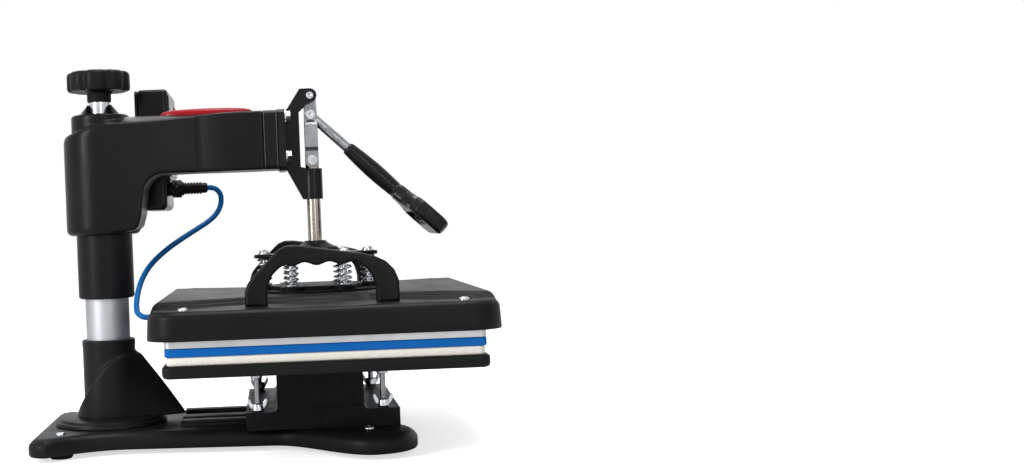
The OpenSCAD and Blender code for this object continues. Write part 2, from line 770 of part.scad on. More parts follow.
module indicator_lamps() color("#e8e8e8") at_press()
    for (k = [-1:1])
        facing_front(display_x + lamp_pitch * k, box_y - panel_t - 0.3, lamp_z, panel_t + 0.3)
            circle(lamp_r - seat_gap);

module mains_inlet() color("#101010") at_press() difference() {
    middle = box_x + box_w / 2;
    translate([middle - inlet_w / 2 + seat_gap, box_y + box_d - 12, box_z + inlet_rise + seat_gap])
        cube([inlet_w - 2 * seat_gap, 16, inlet_h - 2 * seat_gap]);
    translate([middle - inlet_w / 2 + 2, box_y + box_d - 10, box_z + inlet_rise + 2])
        cube([inlet_w - 4, 20, inlet_h - 4]);
}

module switch_bezel() color(black) at_press() difference() {
    translate([box_x + box_w, switch_y - switch_w / 2 - 2.5, switch_z - switch_h / 2 - 2.5])
        cube([1.5, switch_w + 5, switch_h + 5]);
    translate([box_x + box_w - 1, switch_y - switch_w / 2, switch_z - switch_h / 2])
        cube([4, switch_w, switch_h]);
}

module power_rocker() color("#d3202f") at_press()
    translate([box_x + box_w + 0.5, switch_y, switch_z]) rotate([0, rocker_tilt, 0])
        rotate([90, 0, 0]) translate([0, 0, -5.8]) linear_extrude(11.6) union() {
            polygon([[-3.5, -6], [2.2, -8.6], [4.6, -8.2], [3, 0], [4.6, 8.2], [2.2, 8.6], [-3.5, 6]]);
            difference() {
                circle(rocker_back);
                translate([0, -rocker_back]) square(2 * rocker_back);
            }
        }

module push_button(k) color("#d3202f") at_press() {
    proud = panel_t + button_proud;
    facing_front(button_x, box_y - proud, button_top - k * button_pitch, proud + button_depth)
        pill(button_w, button_h);
}

module cable_socket() color("#141414") at_press() translate([plug_x, box_y, plug_z]) rotate([90, 0, 0]) {
    cylinder(r = 10, h = 3);
    translate([0, 0, -box_wall - 3]) cylinder(r = socket_neck_r, h = box_wall + 3);
}

module cable_plug() color("#141414") at_press() translate([plug_x, box_y - 3, plug_z]) rotate([90, 0, 0]) {
    length = box_y - 3 - cable_route[0][1] - cable_gap;
    cylinder(r = 10, h = 8);
    translate([0, 0, 8]) cylinder(r1 = 8, r2 = 6.8, h = 3);
    translate([0, 0, 11]) cylinder(r = 6.8, h = length - 15);
    translate([0, 0, length - 4]) cylinder(r1 = 6.8, r2 = cable_r + 1.5, h = 4);
}

module heater_cable() color("#124a9a") at_press() tube(cable_route, cable_r, 10, [1, 0, 0]);

module cable_gland() color("#141414") at_press()
    translate([gland_x, cover_d / 2, gland_z]) rotate([-90, 0, 0]) {
    cylinder(r = 8, h = 2);
    reach = cable_route[len(cable_route) - 1][1] - cover_d / 2 - cable_gap;
    translate([0, 0, 2]) cylinder(r1 = 6.5, r2 = 5, h = reach - 2);
}

// Places its children at the link pin, with the lever's length along -Y
module along_lever() {
    translate([0, 0, link_pin_z]) rotate([lever_down, 0, 0]) children();
}

module lever_bar() color(steel) at_press() difference() {
    across(-bar_half, bar_half) union() {
        translate([0, pivot_z]) circle(6.5);
        translate([0, link_pin_z]) circle(7);
        translate([-5, link_pin_z]) square([10, crank]);
        translate([0, link_pin_z]) rotate(lever_down) translate([-rod_end, -bar_h / 2])
            square([rod_end, bar_h]);
    }
    for (p = [[pivot_z, run_gap], [link_pin_z, seat_gap]])
        translate([-bar_t, 0, p[0]]) rotate([0, 90, 0]) cylinder(r = pin_r + p[1], h = 2 * bar_t);
}

module lever_handle() color(black) at_press() along_lever() {
    loop_low = lever_len - loop_len;
    loop_half = loop_w / 2;
    hole_half = loop_half - loop_side;
    corner = 8;
    difference() {
        union() {
            translate([0, -rod_len, 0]) rotate([90, 0, 0]) cylinder(r = neck_r, h = loop_low - 12 - rod_len);
            translate([0, 0, -loop_t / 2]) linear_extrude(loop_t) polygon(concat(
                arc([loop_half - corner, corner - lever_len], corner, 0, -90, 6),
                arc([corner - loop_half, corner - lever_len], corner, -90, -180, 6),
                [[-loop_half, 4 - loop_low], [4 - loop_half, -loop_low], [-neck_r, 16 - loop_low]],
                [[neck_r, 16 - loop_low], [loop_half - 4, -loop_low], [loop_half, 4 - loop_low]]));
        }
        translate([0, 0, -loop_t]) linear_extrude(2 * loop_t) difference() {
            polygon([[-hole_half, loop_grip - lever_len], [hole_half, loop_grip - lever_len],
                     [hole_half, -loop_low - 11], [0, -loop_low - 1], [-hole_half, -loop_low - 11]]);
            for (k = [-1:1])
                translate([k * hole_half / 2, loop_grip - lever_len - 6]) circle(9);
        }
        translate([-bar_half - seat_gap, -rod_end - seat_gap, -bar_h / 2 - seat_gap])
            cube([bar_t + 2 * seat_gap, rod_end, bar_h + 2 * seat_gap]);
    }
}

module link_pin() color(steel) at_press() translate([0, 0, link_pin_z]) rotate([0, 90, 0]) {
    out = slot_half + strip_t + pass_gap;
    translate([0, 0, -out]) cylinder(r = pin_r, h = 2 * out);
    for (s = [0, 180]) rotate([s, 0, 0]) translate([0, 0, out]) difference() {
        cylinder(r = pin_r + 1.2, h = 2.4);
        translate([0, 0, 1.2]) cylinder(r = 0.55 * pin_r, h = 2, $fn = 6);
    }
}

// Centre line of one bowed strip, from the lever pin down to the ram pin, as (X, Z) points
function strip_line(off) = [
    [slot_half + off, strip_end], [slot_half + off, -6], [bow_in + off, -10.5],
    [bow_in + off, 14 - link_len], [link_low_in + off, 10 - link_len],
    [link_low_in + off, -link_len - strip_end]];

module toggle_link() color(steel) at_press() translate([0, 0, link_pin_z])
    for (s = [0, 1]) mirror([s, 0, 0]) difference() {
        translate([0, strip_w / 2, 0]) rotate([90, 0, 0]) linear_extrude(strip_w)
            polygon(concat(strip_line(0), [for (i = [5:-1:0]) strip_line(strip_t)[i]]));
        rotate([0, 90, 0]) cylinder(r = pin_r + run_gap, h = 40);
        for (z = [0, -link_len], y = [-1, 1])
            translate([0, y * strip_w / 2, z + (z == 0 ? strip_end : -strip_end)]) rotate([45, 0, 0])
                cube([80, 4, 4], center = true);
    }

module link_bolt_heads() color(steel) at_press() for (s = [0, 1]) mirror([s, 0, 0])
    translate([link_low_in + strip_t, 0, ram_pin_z]) rotate([0, 90, 0]) difference() {
        cylinder(r = pin_r + 1.2, h = 2.6);
        translate([0, 0, 1.3]) cylinder(r = 0.55 * pin_r, h = 2, $fn = 6);
    }

module press_ram() color(steel) at_press() difference() {
    translate([0, 0, upper_plate_top - 1]) cylinder(r = ram_r, h = ram_pin_z + 8 - upper_plate_top + 1);
    for (s = [0, 1]) mirror([s, 0, 0])
        translate([tang_half, -ram_r, ram_pin_z - flat_below]) cube([ram_r, 2 * ram_r, link_len]);
}

module lobed_plate(disc_r, lobe) {
    union() {
        circle(disc_r);
        for (k = [0:springs_n - 1])
            rotate(360 * k / springs_n - 90) translate([spring_circle, 0]) circle(lobe);
    }
}

module on_spring_circle() {
    for (k = [0:springs_n - 1]) rotate(360 * k / springs_n - 90) translate([spring_circle, 0, 0]) children();
}

module upper_spring_plate() color(dark_grey) at_press() translate([0, 0, upper_plate_z]) difference() {
    union() {
        linear_extrude(spring_plate_t) lobed_plate(spring_circle - 6, 11);
        translate([0, 0, spring_plate_t]) cylinder(r1 = ram_r + 14, r2 = ram_r + 4, h = hub_h);
    }
    translate([0, 0, spring_plate_t - 1]) cylinder(r = ram_r + seat_gap, h = hub_h + 2);
    on_spring_circle() translate([0, 0, -1]) cylinder(r = spring_bolt_r + run_gap, h = spring_plate_t + 2);
}

module heat_cover() color(dark_grey) at_press() {
    rim = 6;
    difference() {
        union() {
            translate([0, 0, cover_z]) slab(cover_w, cover_d, wing_h - rim, cover_r);
            translate([0, 0, wing_z - rim]) slab(cover_w - 4, cover_d - 4, rim / 2, cover_r - 2);
            translate([0, 0, wing_z - rim / 2]) slab(cover_w - 10, cover_d - 10, rim / 2, cover_r - 5);
            for (k = [0:terraces - 1])
                translate([0, 0, wing_z]) linear_extrude(crown_rise * (terraces - k) / terraces)
                    polygon(concat(terrace_side(k, cover_d / 2 - 5 - 0.01 * k),
                                   mirrored(terrace_side(k, cover_d / 2 - 5 - 0.01 * k))));
        }
        translate([0, 0, cover_z - 1])
            slab(cover_w - 2 * cover_wall, cover_d - 2 * cover_wall, wing_h - rim + 1, cover_r - cover_wall);
        translate([0, 0, cover_z])
            slab(cover_w - 2 * rim - 10, cover_d - 2 * rim - 10, wing_h - cover_wall, cover_r - rim - 5);
        translate([0, 0, cover_z])
            slab(0.4 * cover_w - 10, cover_d - 60, wing_h + crown_rise - cover_wall, 10);
    }
}

module heat_plate() color("#c9cbcd") at_press()
    translate([0, 0, heat_z]) slab(plate_w, plate_d, heat_t, plate_r);

module insulation_board() color("#e6dcc0") at_press() {
    room = wing_z - cover_wall - board_z;
    translate([0, 0, board_z]) slab(plate_w - 20, plate_d - 20, board_t, plate_r);
    at_cover_screws() translate([0, 0, board_z]) cylinder(r = 6, h = room);
}

module cover_ring() color(black) at_press() translate([0, 0, crown_z]) difference() {
    cylinder(r = ring_r, h = ring_t);
    translate([0, 0, 0.5 * ring_t]) difference() {
        cylinder(r = ring_r - 3, h = ring_t);
        translate([0, 0, -1]) cylinder(r = ring_r - 6, h = ring_t + 2);
    }
}

module lower_spring_plate() color(black) at_press()
    translate([0, 0, lower_plate_z]) linear_extrude(spring_plate_t) lobed_plate(spring_circle - 4, 12);

module spring_bolts() color(steel) at_press() on_spring_circle() {
    translate([0, 0, spring_z]) cylinder(r = spring_bolt_r, h = spring_len + spring_plate_t);
    translate([0, 0, upper_plate_top]) pan_screw(spring_bolt_r + 4, 5);
}

module pressure_springs() color(steel) at_press() on_spring_circle()
    translate([0, 0, spring_z]) tube(spring_points, wire_d / 2, 6, [1, 0, 0]);

// One carrying grip, drawn from the side: high at the back, with finger waves inside
module side_grip() {
    half = grip_len / 2;
    front_r = 30;
    back_r = 46;
    inner = half - grip_foot;
    top = grip_h - grip_drop - grip_bar;
    across(-grip_w / 2, grip_w / 2) difference() {
        polygon(concat(
            [[half, 0]], arc([half - back_r, grip_h - back_r], back_r, 0, 96, 10),
            arc([front_r - half, grip_h - grip_drop - front_r], front_r, 82, 180, 10), [[-half, 0]]));
        difference() {
            polygon(concat([[inner, -1]], arc([inner - 11, top - 11], 11, 0, 90, 5),
                           arc([12 - inner, top - 12], 12, 90, 180, 5), [[-inner, -1]]));
            for (k = [-1:1]) translate([k * 26, top + 6]) circle(9);
        }
    }
}

module left_grip() color(black) at_press() translate([grip_inset - cover_w / 2, 0, wing_z]) side_grip();

module right_grip() color(black) at_press() translate([cover_w / 2 - grip_inset, 0, wing_z]) side_grip();

module at_cover_screws() {
    for (x = [-1, 1], y = [-1, 1])
        translate([x * (cover_w / 2 - cover_screw_x), y * (cover_d / 2 - cover_screw_y), 0]) children();
}

module cover_screws() color(steel) at_press() at_cover_screws() translate([0, 0, wing_z]) pan_screw(5, 3);

base_plate();
rubber_feet();
foot_screws();
column_socket();
column_tube();
tube_nut();
tray_pedestal();
lower_tray();
foam_pad();
silicone_pad();
tray_studs();
wing_nut(-stud_x, stud_y[0]);  // wing_nut_1
wing_nut(stud_x, stud_y[0]);  // wing_nut_2
wing_nut(-stud_x, stud_y[1]);  // wing_nut_3
wing_nut(stud_x, stud_y[1]);  // wing_nut_4
column_sleeve();
arm_casting();
arm_inlay();
arm_end_block();
toggle_bracket();
bracket_bolts();
lever_pivot_pin();
screw_boss();
height_knob();
height_screw();
box_bracket();
box_shell();
box_back();
circuit_board();
control_panel();
display_windows();
indicator_lamps();
mains_inlet();
switch_bezel();
power_rocker();
push_button(0);  // button_plus
push_button(1);  // button_minus
push_button(2);  // button_mode
push_button(3);  // button_heat
cable_socket();
cable_plug();
heater_cable();
cable_gland();
lever_bar();
lever_handle();
link_pin();
toggle_link();
link_bolt_heads();
press_ram();
upper_spring_plate();
heat_cover();
heat_plate();
insulation_board();
cover_ring();
lower_spring_plate();
spring_bolts();
pressure_springs();
left_grip();
right_grip();
cover_screws();
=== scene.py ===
"""Looks of a combination heat press: smooth castings, pads, springs and finishes around its CAD frame.

Lengths in this script are millimetres, measured from the press axis on the floor, unless a name says metres.
"""
from math import acos, copysign, cos, pi, radians, sin, sqrt

import bmesh
import bpy
from mathutils import Euler, Matrix, Vector


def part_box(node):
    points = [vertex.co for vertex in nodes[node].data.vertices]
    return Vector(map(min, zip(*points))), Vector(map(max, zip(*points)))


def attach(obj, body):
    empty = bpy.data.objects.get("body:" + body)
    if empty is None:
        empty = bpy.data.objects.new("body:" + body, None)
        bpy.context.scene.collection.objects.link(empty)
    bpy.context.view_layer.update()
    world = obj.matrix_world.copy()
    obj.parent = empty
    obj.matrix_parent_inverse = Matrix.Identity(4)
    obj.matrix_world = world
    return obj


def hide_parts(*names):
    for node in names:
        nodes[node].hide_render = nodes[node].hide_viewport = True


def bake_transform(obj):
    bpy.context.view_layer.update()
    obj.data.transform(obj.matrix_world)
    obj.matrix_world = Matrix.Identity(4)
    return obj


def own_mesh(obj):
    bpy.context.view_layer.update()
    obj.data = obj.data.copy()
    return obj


MM = 0.001
SHARP_DEG = 35
WELD_M = 0.00002
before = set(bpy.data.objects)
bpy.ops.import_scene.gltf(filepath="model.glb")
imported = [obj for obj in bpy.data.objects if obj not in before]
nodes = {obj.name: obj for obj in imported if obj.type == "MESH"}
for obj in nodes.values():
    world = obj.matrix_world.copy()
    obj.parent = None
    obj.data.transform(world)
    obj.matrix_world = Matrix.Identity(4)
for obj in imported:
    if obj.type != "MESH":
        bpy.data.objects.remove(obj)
scene = bpy.context.scene
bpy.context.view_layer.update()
ram_low, ram_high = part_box("press_ram")
PRESS_Y = (ram_low.y + ram_high.y) / 2


def at(x, y, z):
    """A point given from the press axis, in the frame's own metres."""
    return Vector((x * MM, y * MM + PRESS_Y, z * MM))


def from_axis(point):
    """A point in the frame's metres, as millimetres from the press axis."""
    return Vector((point.x / MM, (point.y - PRESS_Y) / MM, point.z / MM))


def node_box(name):
    """A node's lowest and highest corners, in millimetres from the press axis."""
    return [from_axis(corner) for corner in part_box(name)]


def node_middle(name):
    low, high = node_box(name)
    return (low + high) / 2


def smooth_step(t):
    t = max(0.0, min(1.0, t))
    return t * t * (3 - 2 * t)


def circle(count):
    """Angles spread evenly round a full turn."""
    return [2 * pi * k / count for k in range(count)]


COLUMN_Y = node_middle("column_tube").y


# Materials

TEXTURE_OUT = {"ShaderNodeTexNoise": "Fac", "ShaderNodeTexVoronoi": "Distance"}
TEXTURE_DETAIL = 3.0
PATCH_RANGE = (0.35, 0.65)
WEAR_SCALE = 90
WEAR_LEAST = 0.2
EDGE_POINTINESS = (0.53, 0.62)
MIX_COLOUR_INPUTS = (0, 6, 7)
MIX_COLOUR_OUTPUT = 2


class Finish:
    """One procedural material, built up a property at a time."""

    def __init__(self, name, colour, gloss, metallic=0.0, **sockets):
        """gloss is a roughness, or the arguments of uneven_gloss."""
        self.material = bpy.data.materials.new(name)
        self.material.use_nodes = True
        tree = self.material.node_tree
        self.add = tree.nodes.new
        self.link = tree.links.new
        self.shader = tree.nodes["Principled BSDF"]
        self.coordinates = self.add("ShaderNodeTexCoord")
        self.colour = (*colour, 1.0)
        self.last_bump = None
        self.fill(self.shader, Base_Color=self.colour, Metallic=metallic, **sockets)
        if isinstance(gloss, tuple):
            self.uneven_gloss(*gloss)
        else:
            self.fill(self.shader, Roughness=gloss)

    @staticmethod
    def fill(node, **sockets):
        """Sets a node's inputs, named with _ for each space."""
        for socket, value in sockets.items():
            node.inputs[socket.replace("_", " ")].default_value = value

    def texture(self, kind, scale, stretch=(1, 1, 1)):
        mapping = self.add("ShaderNodeMapping")
        self.fill(mapping, Scale=stretch)
        self.link(self.coordinates.outputs["Object"], mapping.inputs["Vector"])
        node = self.add(kind)
        self.fill(node, Scale=scale, Detail=TEXTURE_DETAIL)
        self.link(mapping.outputs["Vector"], node.inputs["Vector"])
        return node.outputs[TEXTURE_OUT[kind]]

    def ramp(self, source, low, high, start=0.3, end=0.7):
        node = self.add("ShaderNodeMapRange")
        self.fill(node, From_Min=start, From_Max=end, To_Min=low, To_Max=high)
        self.link(source, node.inputs["Value"])
        return node.outputs["Result"]

    def bump(self, scale, depth, kind="ShaderNodeTexNoise", stretch=(1, 1, 1)):
        node = self.add("ShaderNodeBump")
        self.fill(node, Distance=depth * MM, Strength=1.0)
        self.link(self.texture(kind, scale, stretch), node.inputs["Height"])
        if self.last_bump is not None:
            self.link(self.last_bump, node.inputs["Normal"])
        self.last_bump = node.outputs["Normal"]
        self.link(self.last_bump, self.shader.inputs["Normal"])
        return self

    def uneven_gloss(self, low, high, scale, stretch=(1, 1, 1)):
        value = self.ramp(self.texture("ShaderNodeTexNoise", scale, stretch), low, high)
        self.link(value, self.shader.inputs["Roughness"])
        return self

    def mix_in(self, factor, other):
        """Mixes another colour over the present one."""
        mix = self.add("ShaderNodeMix")
        mix.data_type = "RGBA"
        share, first, second = (mix.inputs[i] for i in MIX_COLOUR_INPUTS)
        source = self.shader.inputs["Base Color"]
        if source.is_linked:
            self.link(source.links[0].from_socket, first)
        else:
            first.default_value = self.colour
        second.default_value = (*other, 1.0)
        self.link(factor, share)
        self.link(mix.outputs[MIX_COLOUR_OUTPUT], source)
        return self

    def mottle(self, other, scale, share=1.0, stretch=(1, 1, 1)):
        noise = self.texture("ShaderNodeTexNoise", scale, stretch)
        return self.mix_in(self.ramp(noise, 0.0, share, *PATCH_RANGE), other)

    def worn_edges(self, other, share):
        geometry = self.add("ShaderNodeNewGeometry")
        breakup = self.ramp(self.texture("ShaderNodeTexNoise", WEAR_SCALE), WEAR_LEAST, 1.0)
        edges = self.ramp(geometry.outputs["Pointiness"], 0.0, share, *EDGE_POINTINESS)
        product = self.add("ShaderNodeMath")
        product.operation = "MULTIPLY"
        self.link(edges, product.inputs[0])
        self.link(breakup, product.inputs[1])
        return self.mix_in(product.outputs["Value"], other)


def make_finishes():
    """Every finish of the machine, by the name that the pieces use."""
    paint_edge = (0.045, 0.046, 0.048)
    matt = {"Specular_IOR_Level": 0.1}
    dull = {"Specular_IOR_Level": 0.05}
    glossy = {"Specular_IOR_Level": 0.14}
    finishes = {
        "cast_black": Finish("satin_black_paint", (0.005, 0.0052, 0.0056), (0.36, 0.48, 40), **matt)
        .mottle((0.0068, 0.007, 0.0076), 9).worn_edges(paint_edge, 0.4).bump(1500, 0.04),
        "cast_grey": Finish("charcoal_paint", (0.0055, 0.0057, 0.0062), (0.29, 0.39, 30), **matt)
        .mottle((0.007, 0.0073, 0.0079), 7).worn_edges(paint_edge, 0.35).bump(1700, 0.03).bump(160, 0.015),
        "cover_paint": Finish("moulded_charcoal", (0.0042, 0.0044, 0.0048), (0.38, 0.48, 35), **matt)
        .mottle((0.0056, 0.0058, 0.0063), 11).bump(2200, 0.05),
        "steel_black": Finish("black_painted_steel", (0.004, 0.0042, 0.0045), (0.3, 0.42, 60), **dull)
        .mottle((0.0056, 0.0058, 0.0062), 14).worn_edges(paint_edge, 0.45).bump(1500, 0.03),
        "tray": Finish("tray_black_paint", (0.005, 0.0052, 0.0056), (0.36, 0.5, 50), **matt)
        .mottle((0.0068, 0.007, 0.0075), 12).worn_edges(paint_edge, 0.4).bump(1500, 0.04),
        "black_plastic": Finish("moulded_black_plastic", (0.005, 0.0051, 0.0055), (0.32, 0.44, 60), **matt)
        .mottle((0.0068, 0.0069, 0.0074), 18).worn_edges((0.03, 0.03, 0.031), 0.4).bump(2600, 0.04),
        "gloss_plastic": Finish("gloss_black_plastic", (0.005, 0.0052, 0.0058), (0.16, 0.28, 45), **glossy)
        .mottle((0.007, 0.0072, 0.008), 20).bump(1400, 0.01),
        "gloss_handle": Finish("gloss_black_moulding", (0.0062, 0.0064, 0.007), (0.2, 0.32, 50), **glossy)
        .mottle((0.0088, 0.009, 0.0098), 16).bump(1400, 0.012),
        "display": Finish("dark_display_glass", (0.004, 0.005, 0.007), (0.07, 0.14, 50), **glossy)
        .mottle((0.006, 0.008, 0.011), 40),
        "rubber": Finish("foot_rubber", (0.009, 0.009, 0.009), 0.75, **matt)
        .mottle((0.016, 0.016, 0.0155), 80).bump(600, 0.08),
        # Seam lines: a pale metallic grey painted on as a highlight, for the bright lines along the front
        # block's joints.
        "seam_highlight": Finish("seam_painted_highlight", (0.11, 0.112, 0.115), 0.4, 0.6)
        .mottle((0.06, 0.061, 0.063), 120).bump(900, 0.02),
        "chrome": Finish("satin_tube", (0.44, 0.45, 0.465), (0.46, 0.56, 25, (1, 1, 0.08)), 1.0)
        .mottle((0.36, 0.37, 0.39), 30, 0.8, stretch=(1, 1, 0.04)).bump(900, 0.006, stretch=(1, 1, 0.02)),
        "steel": Finish("zinc_steel", (0.58, 0.6, 0.63), (0.16, 0.34, 150), 1.0)
        .mottle((0.42, 0.44, 0.47), 120, 0.7).bump(700, 0.012),
        "lever_steel": Finish("satin_steel_bar", (0.27, 0.28, 0.295), (0.28, 0.42, 90), 1.0)
        .mottle((0.2, 0.208, 0.22), 60).bump(500, 0.02, stretch=(1, 0.06, 0.06)),
        "ram_steel": Finish("warm_nickel", (0.5, 0.46, 0.4), (0.14, 0.28, 60), 1.0)
        .mottle((0.2, 0.18, 0.155), 150, 0.8, stretch=(1, 1, 0.012)).bump(700, 0.01, stretch=(1, 1, 0.05)),
        "plate": Finish("machined_aluminium", (0.49, 0.5, 0.51), (0.3, 0.45, 80), 1.0)
        .mottle((0.43, 0.44, 0.455), 40).bump(500, 0.01, stretch=(0.04, 1, 1)),
        "brass": Finish("brass_nut", (0.6, 0.44, 0.17), 0.3, 1.0)
        .mottle((0.5, 0.36, 0.13), 90).bump(600, 0.02),
        "foam": Finish("sponge_foam", (0.8, 0.775, 0.7), 0.9)
        .mottle((0.72, 0.69, 0.61), 260, 0.7).bump(900, 0.25, "ShaderNodeTexVoronoi").bump(350, 0.2),
        "silicone": Finish("blue_silicone", (0.001, 0.1, 0.37), (0.38, 0.52, 60), **matt)
        .mottle((0.001, 0.086, 0.33), 30, 0.6).bump(900, 0.03),
        "lead": Finish("blue_lead", (0.001, 0.105, 0.34), (0.32, 0.46, 90), **matt)
        .mottle((0.001, 0.088, 0.29), 60).bump(1200, 0.03),
        "red_plastic": Finish("gloss_red_plastic", (0.29, 0.006, 0.014), (0.22, 0.34, 60), **glossy)
        .mottle((0.25, 0.005, 0.012), 30).bump(900, 0.01),
        "white_print": Finish("white_print", (0.82, 0.82, 0.8), 0.5)
        .mottle((0.7, 0.7, 0.69), 200).bump(900, 0.01),
        "grey_print": Finish("grey_print", (0.3, 0.3, 0.31), 0.5)
        .mottle((0.25, 0.25, 0.26), 200).bump(900, 0.01),
        "lamp": Finish("lamp_lens", (0.12, 0.12, 0.12), 0.2)
        .mottle((0.08, 0.08, 0.08), 300).bump(900, 0.02),
        "board": Finish("circuit_board", (0.02, 0.16, 0.07), 0.45)
        .mottle((0.03, 0.2, 0.09), 150).bump(500, 0.05),
        "insulation": Finish("fibre_board", (0.74, 0.69, 0.56), 0.95)
        .mottle((0.63, 0.58, 0.46), 60).bump(300, 0.3),
    }
    return {name: finish.material for name, finish in finishes.items()}


FINISHES = make_finishes()


# Mesh helpers

def put(name, data):
    """A new object in the scene."""
    obj = bpy.data.objects.new(name, data)
    scene.collection.objects.link(obj)
    return obj


def mesh_piece(name, points, faces, sharp_deg=SHARP_DEG):
    """A mesh object whose edges stay sharp only past that angle; points are already in metres."""
    mesh = bpy.data.meshes.new(name)
    mesh.from_pydata([tuple(p) for p in points], [], faces)
    mesh.validate()
    obj = put(name, mesh)
    shade(obj, sharp_deg)
    return obj


def shade(obj, sharp_deg=SHARP_DEG):
    obj.data.shade_smooth()
    obj.data.set_sharp_from_angle(angle=radians(sharp_deg))


def dress(obj, body, finish, node=None):
    """Gives a piece its finish, the body that it moves with, and the node that it stands for."""
    obj.data.materials.clear()
    obj.data.materials.append(FINISHES[finish])
    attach(obj, body)
    if node:
        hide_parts(node)
    return obj


def bake(obj, sharp_deg=SHARP_DEG):
    """Applies an object's modifiers into a mesh of its own."""
    graph = bpy.context.evaluated_depsgraph_get()
    graph.update()
    mesh = bpy.data.meshes.new_from_object(obj.evaluated_get(graph))
    old = obj.data
    obj.modifiers.clear()
    if obj.type == "CURVE":
        solid = put(obj.name, mesh)
        bpy.data.objects.remove(obj)
        obj = solid
    else:
        obj.data = mesh
        bpy.data.meshes.remove(old)
    obj.data.name = obj.name
    shade(obj, sharp_deg)
    return obj


def skins(name, stacks, cap_low=True, sharp_deg=SHARP_DEG):
    """One mesh of closed skins, each through a stack of rings of points that are already in metres."""
    points = []
    faces = []
    for rings in stacks:
        count = len(rings[0])
        first = len(points)
        last = first + (len(rings) - 1) * count
        points += [p for ring in rings for p in ring]
        for row in range(first, last, count):
            for j in range(count):
                k = (j + 1) % count
                faces.append((row + j, row + k, row + count + k, row + count + j))
        if cap_low:
            faces.append(tuple(range(first, first + count))[::-1])
        faces.append(tuple(range(last, last + count)))
    obj = mesh_piece(name, points, faces, sharp_deg)
    tidy(obj, sharp_deg)
    return obj


def in_metres(rings):
    return [[at(*p) for p in ring] for ring in rings]


def join_rings(name, rings, cap_low=True, sharp_deg=SHARP_DEG):
    """A closed skin through rings of points in millimetres, each with as many points as the others."""
    return skins(name, [in_metres(rings)], cap_low, sharp_deg)


def above(base, pairs):
    """Pairs of a profile whose second values are counted from a base."""
    return [(u, base + v) for u, v in pairs]


def rings_of(levels, turns, point):
    """Rings of points round a form: point(level, angle) all the way round at every level."""
    return [[point(level, angle) for angle in circle(turns)] for level in levels]


def lathe(centre, profile, turns, shape=lambda angle, r: r):
    """The rings of a (radius, height) profile about a vertical axis; shape(angle, r) may change a radius."""
    def point(level, angle):
        r = shape(angle, level[0])
        return centre[0] + r * cos(angle), centre[1] + r * sin(angle), level[1]

    return rings_of(profile, turns, point)


def arc(cx, cy, r, start, end, steps):
    """Points on an arc between two angles in degrees."""
    angles = [radians(start + (end - start) * i / steps) for i in range(steps + 1)]
    return [(cx + r * cos(a), cy + r * sin(a)) for a in angles]


def rectangle(cx, cy, half_w, half_h):
    return [(cx - half_w, cy - half_h), (cx + half_w, cy - half_h), (cx + half_w, cy + half_h),
            (cx - half_w, cy + half_h)]


def cross(half, reach):
    """The outline of a plus sign whose bars are two halves wide."""
    corner = [(-half, -reach), (half, -reach), (half, -half)]
    outline = []
    for _ in range(4):
        outline += corner
        corner = [(-v, u) for u, v in corner]
    return outline


def box_ring(half_x, half_y, corner, round_steps, side_steps, sag=0.0):
    """A rounded rectangle's outline with points all along its sides, which sag bows inwards."""
    out = []
    for k, (sx, sy) in enumerate(((1, 1), (-1, 1), (-1, -1), (1, -1))):
        out += arc(sx * (half_x - corner), sy * (half_y - corner), corner, 90 * k, 90 * k + 90, round_steps)
        x, y = out[-1]
        for i in range(1, side_steps):
            t = i / side_steps
            bow = sag * sin(pi * t)
            level = k % 2 == 0
            out.append((x * (1 - 2 * t), y - bow * sy) if level else (x - bow * sx, y * (1 - 2 * t)))
    return out


def rounded(points, radius, steps=5):
    """A closed outline with each corner rounded, by a curve that starts radius away from it."""
    most_of_side = 0.45
    out = []
    count = len(points)
    for i, p in enumerate(points):
        corner = Vector(p)
        before = Vector(points[i - 1])
        after = Vector(points[(i + 1) % count])
        reach = min([radius] + [(end - corner).length * most_of_side for end in (before, after)])
        a = corner + (before - corner).normalized() * reach
        b = corner + (after - corner).normalized() * reach
        for k in range(steps + 1):
            t = k / steps
            out.append(tuple(a * (1 - t) ** 2 + corner * (2 * t * (1 - t)) + b * t ** 2))
    return out


def plate(name, outlines, thickness, edge, place, edge_steps=4):
    """A flat plate of that thickness with rounded edges, put in space by place(u, v, w)."""
    curve = bpy.data.curves.new(name, "CURVE")
    curve.dimensions = "2D"
    curve.fill_mode = "BOTH"
    curve.extrude = (thickness / 2 - edge) * MM
    curve.bevel_depth = edge * MM
    curve.bevel_resolution = edge_steps
    curve.offset = -edge * MM
    for outline in outlines:
        spline = curve.splines.new("POLY")
        spline.points.add(len(outline) - 1)
        for point, (u, v) in zip(spline.points, outline):
            point.co = (u * MM, v * MM, 0, 1)
        spline.use_cyclic_u = True
    obj = bake(put(name, curve))
    for vertex in obj.data.vertices:
        u, v, w = (c / MM for c in vertex.co)
        vertex.co = place(u, v, w)
    tidy(obj)
    return obj


def tidy(obj, sharp_deg=SHARP_DEG):
    """Welds doubled points and turns every face outwards."""
    work = bmesh.new()
    work.from_mesh(obj.data)
    bmesh.ops.remove_doubles(work, verts=work.verts, dist=WELD_M)
    bmesh.ops.recalc_face_normals(work, faces=work.faces)
    work.to_mesh(obj.data)
    work.free()
    shade(obj, sharp_deg)


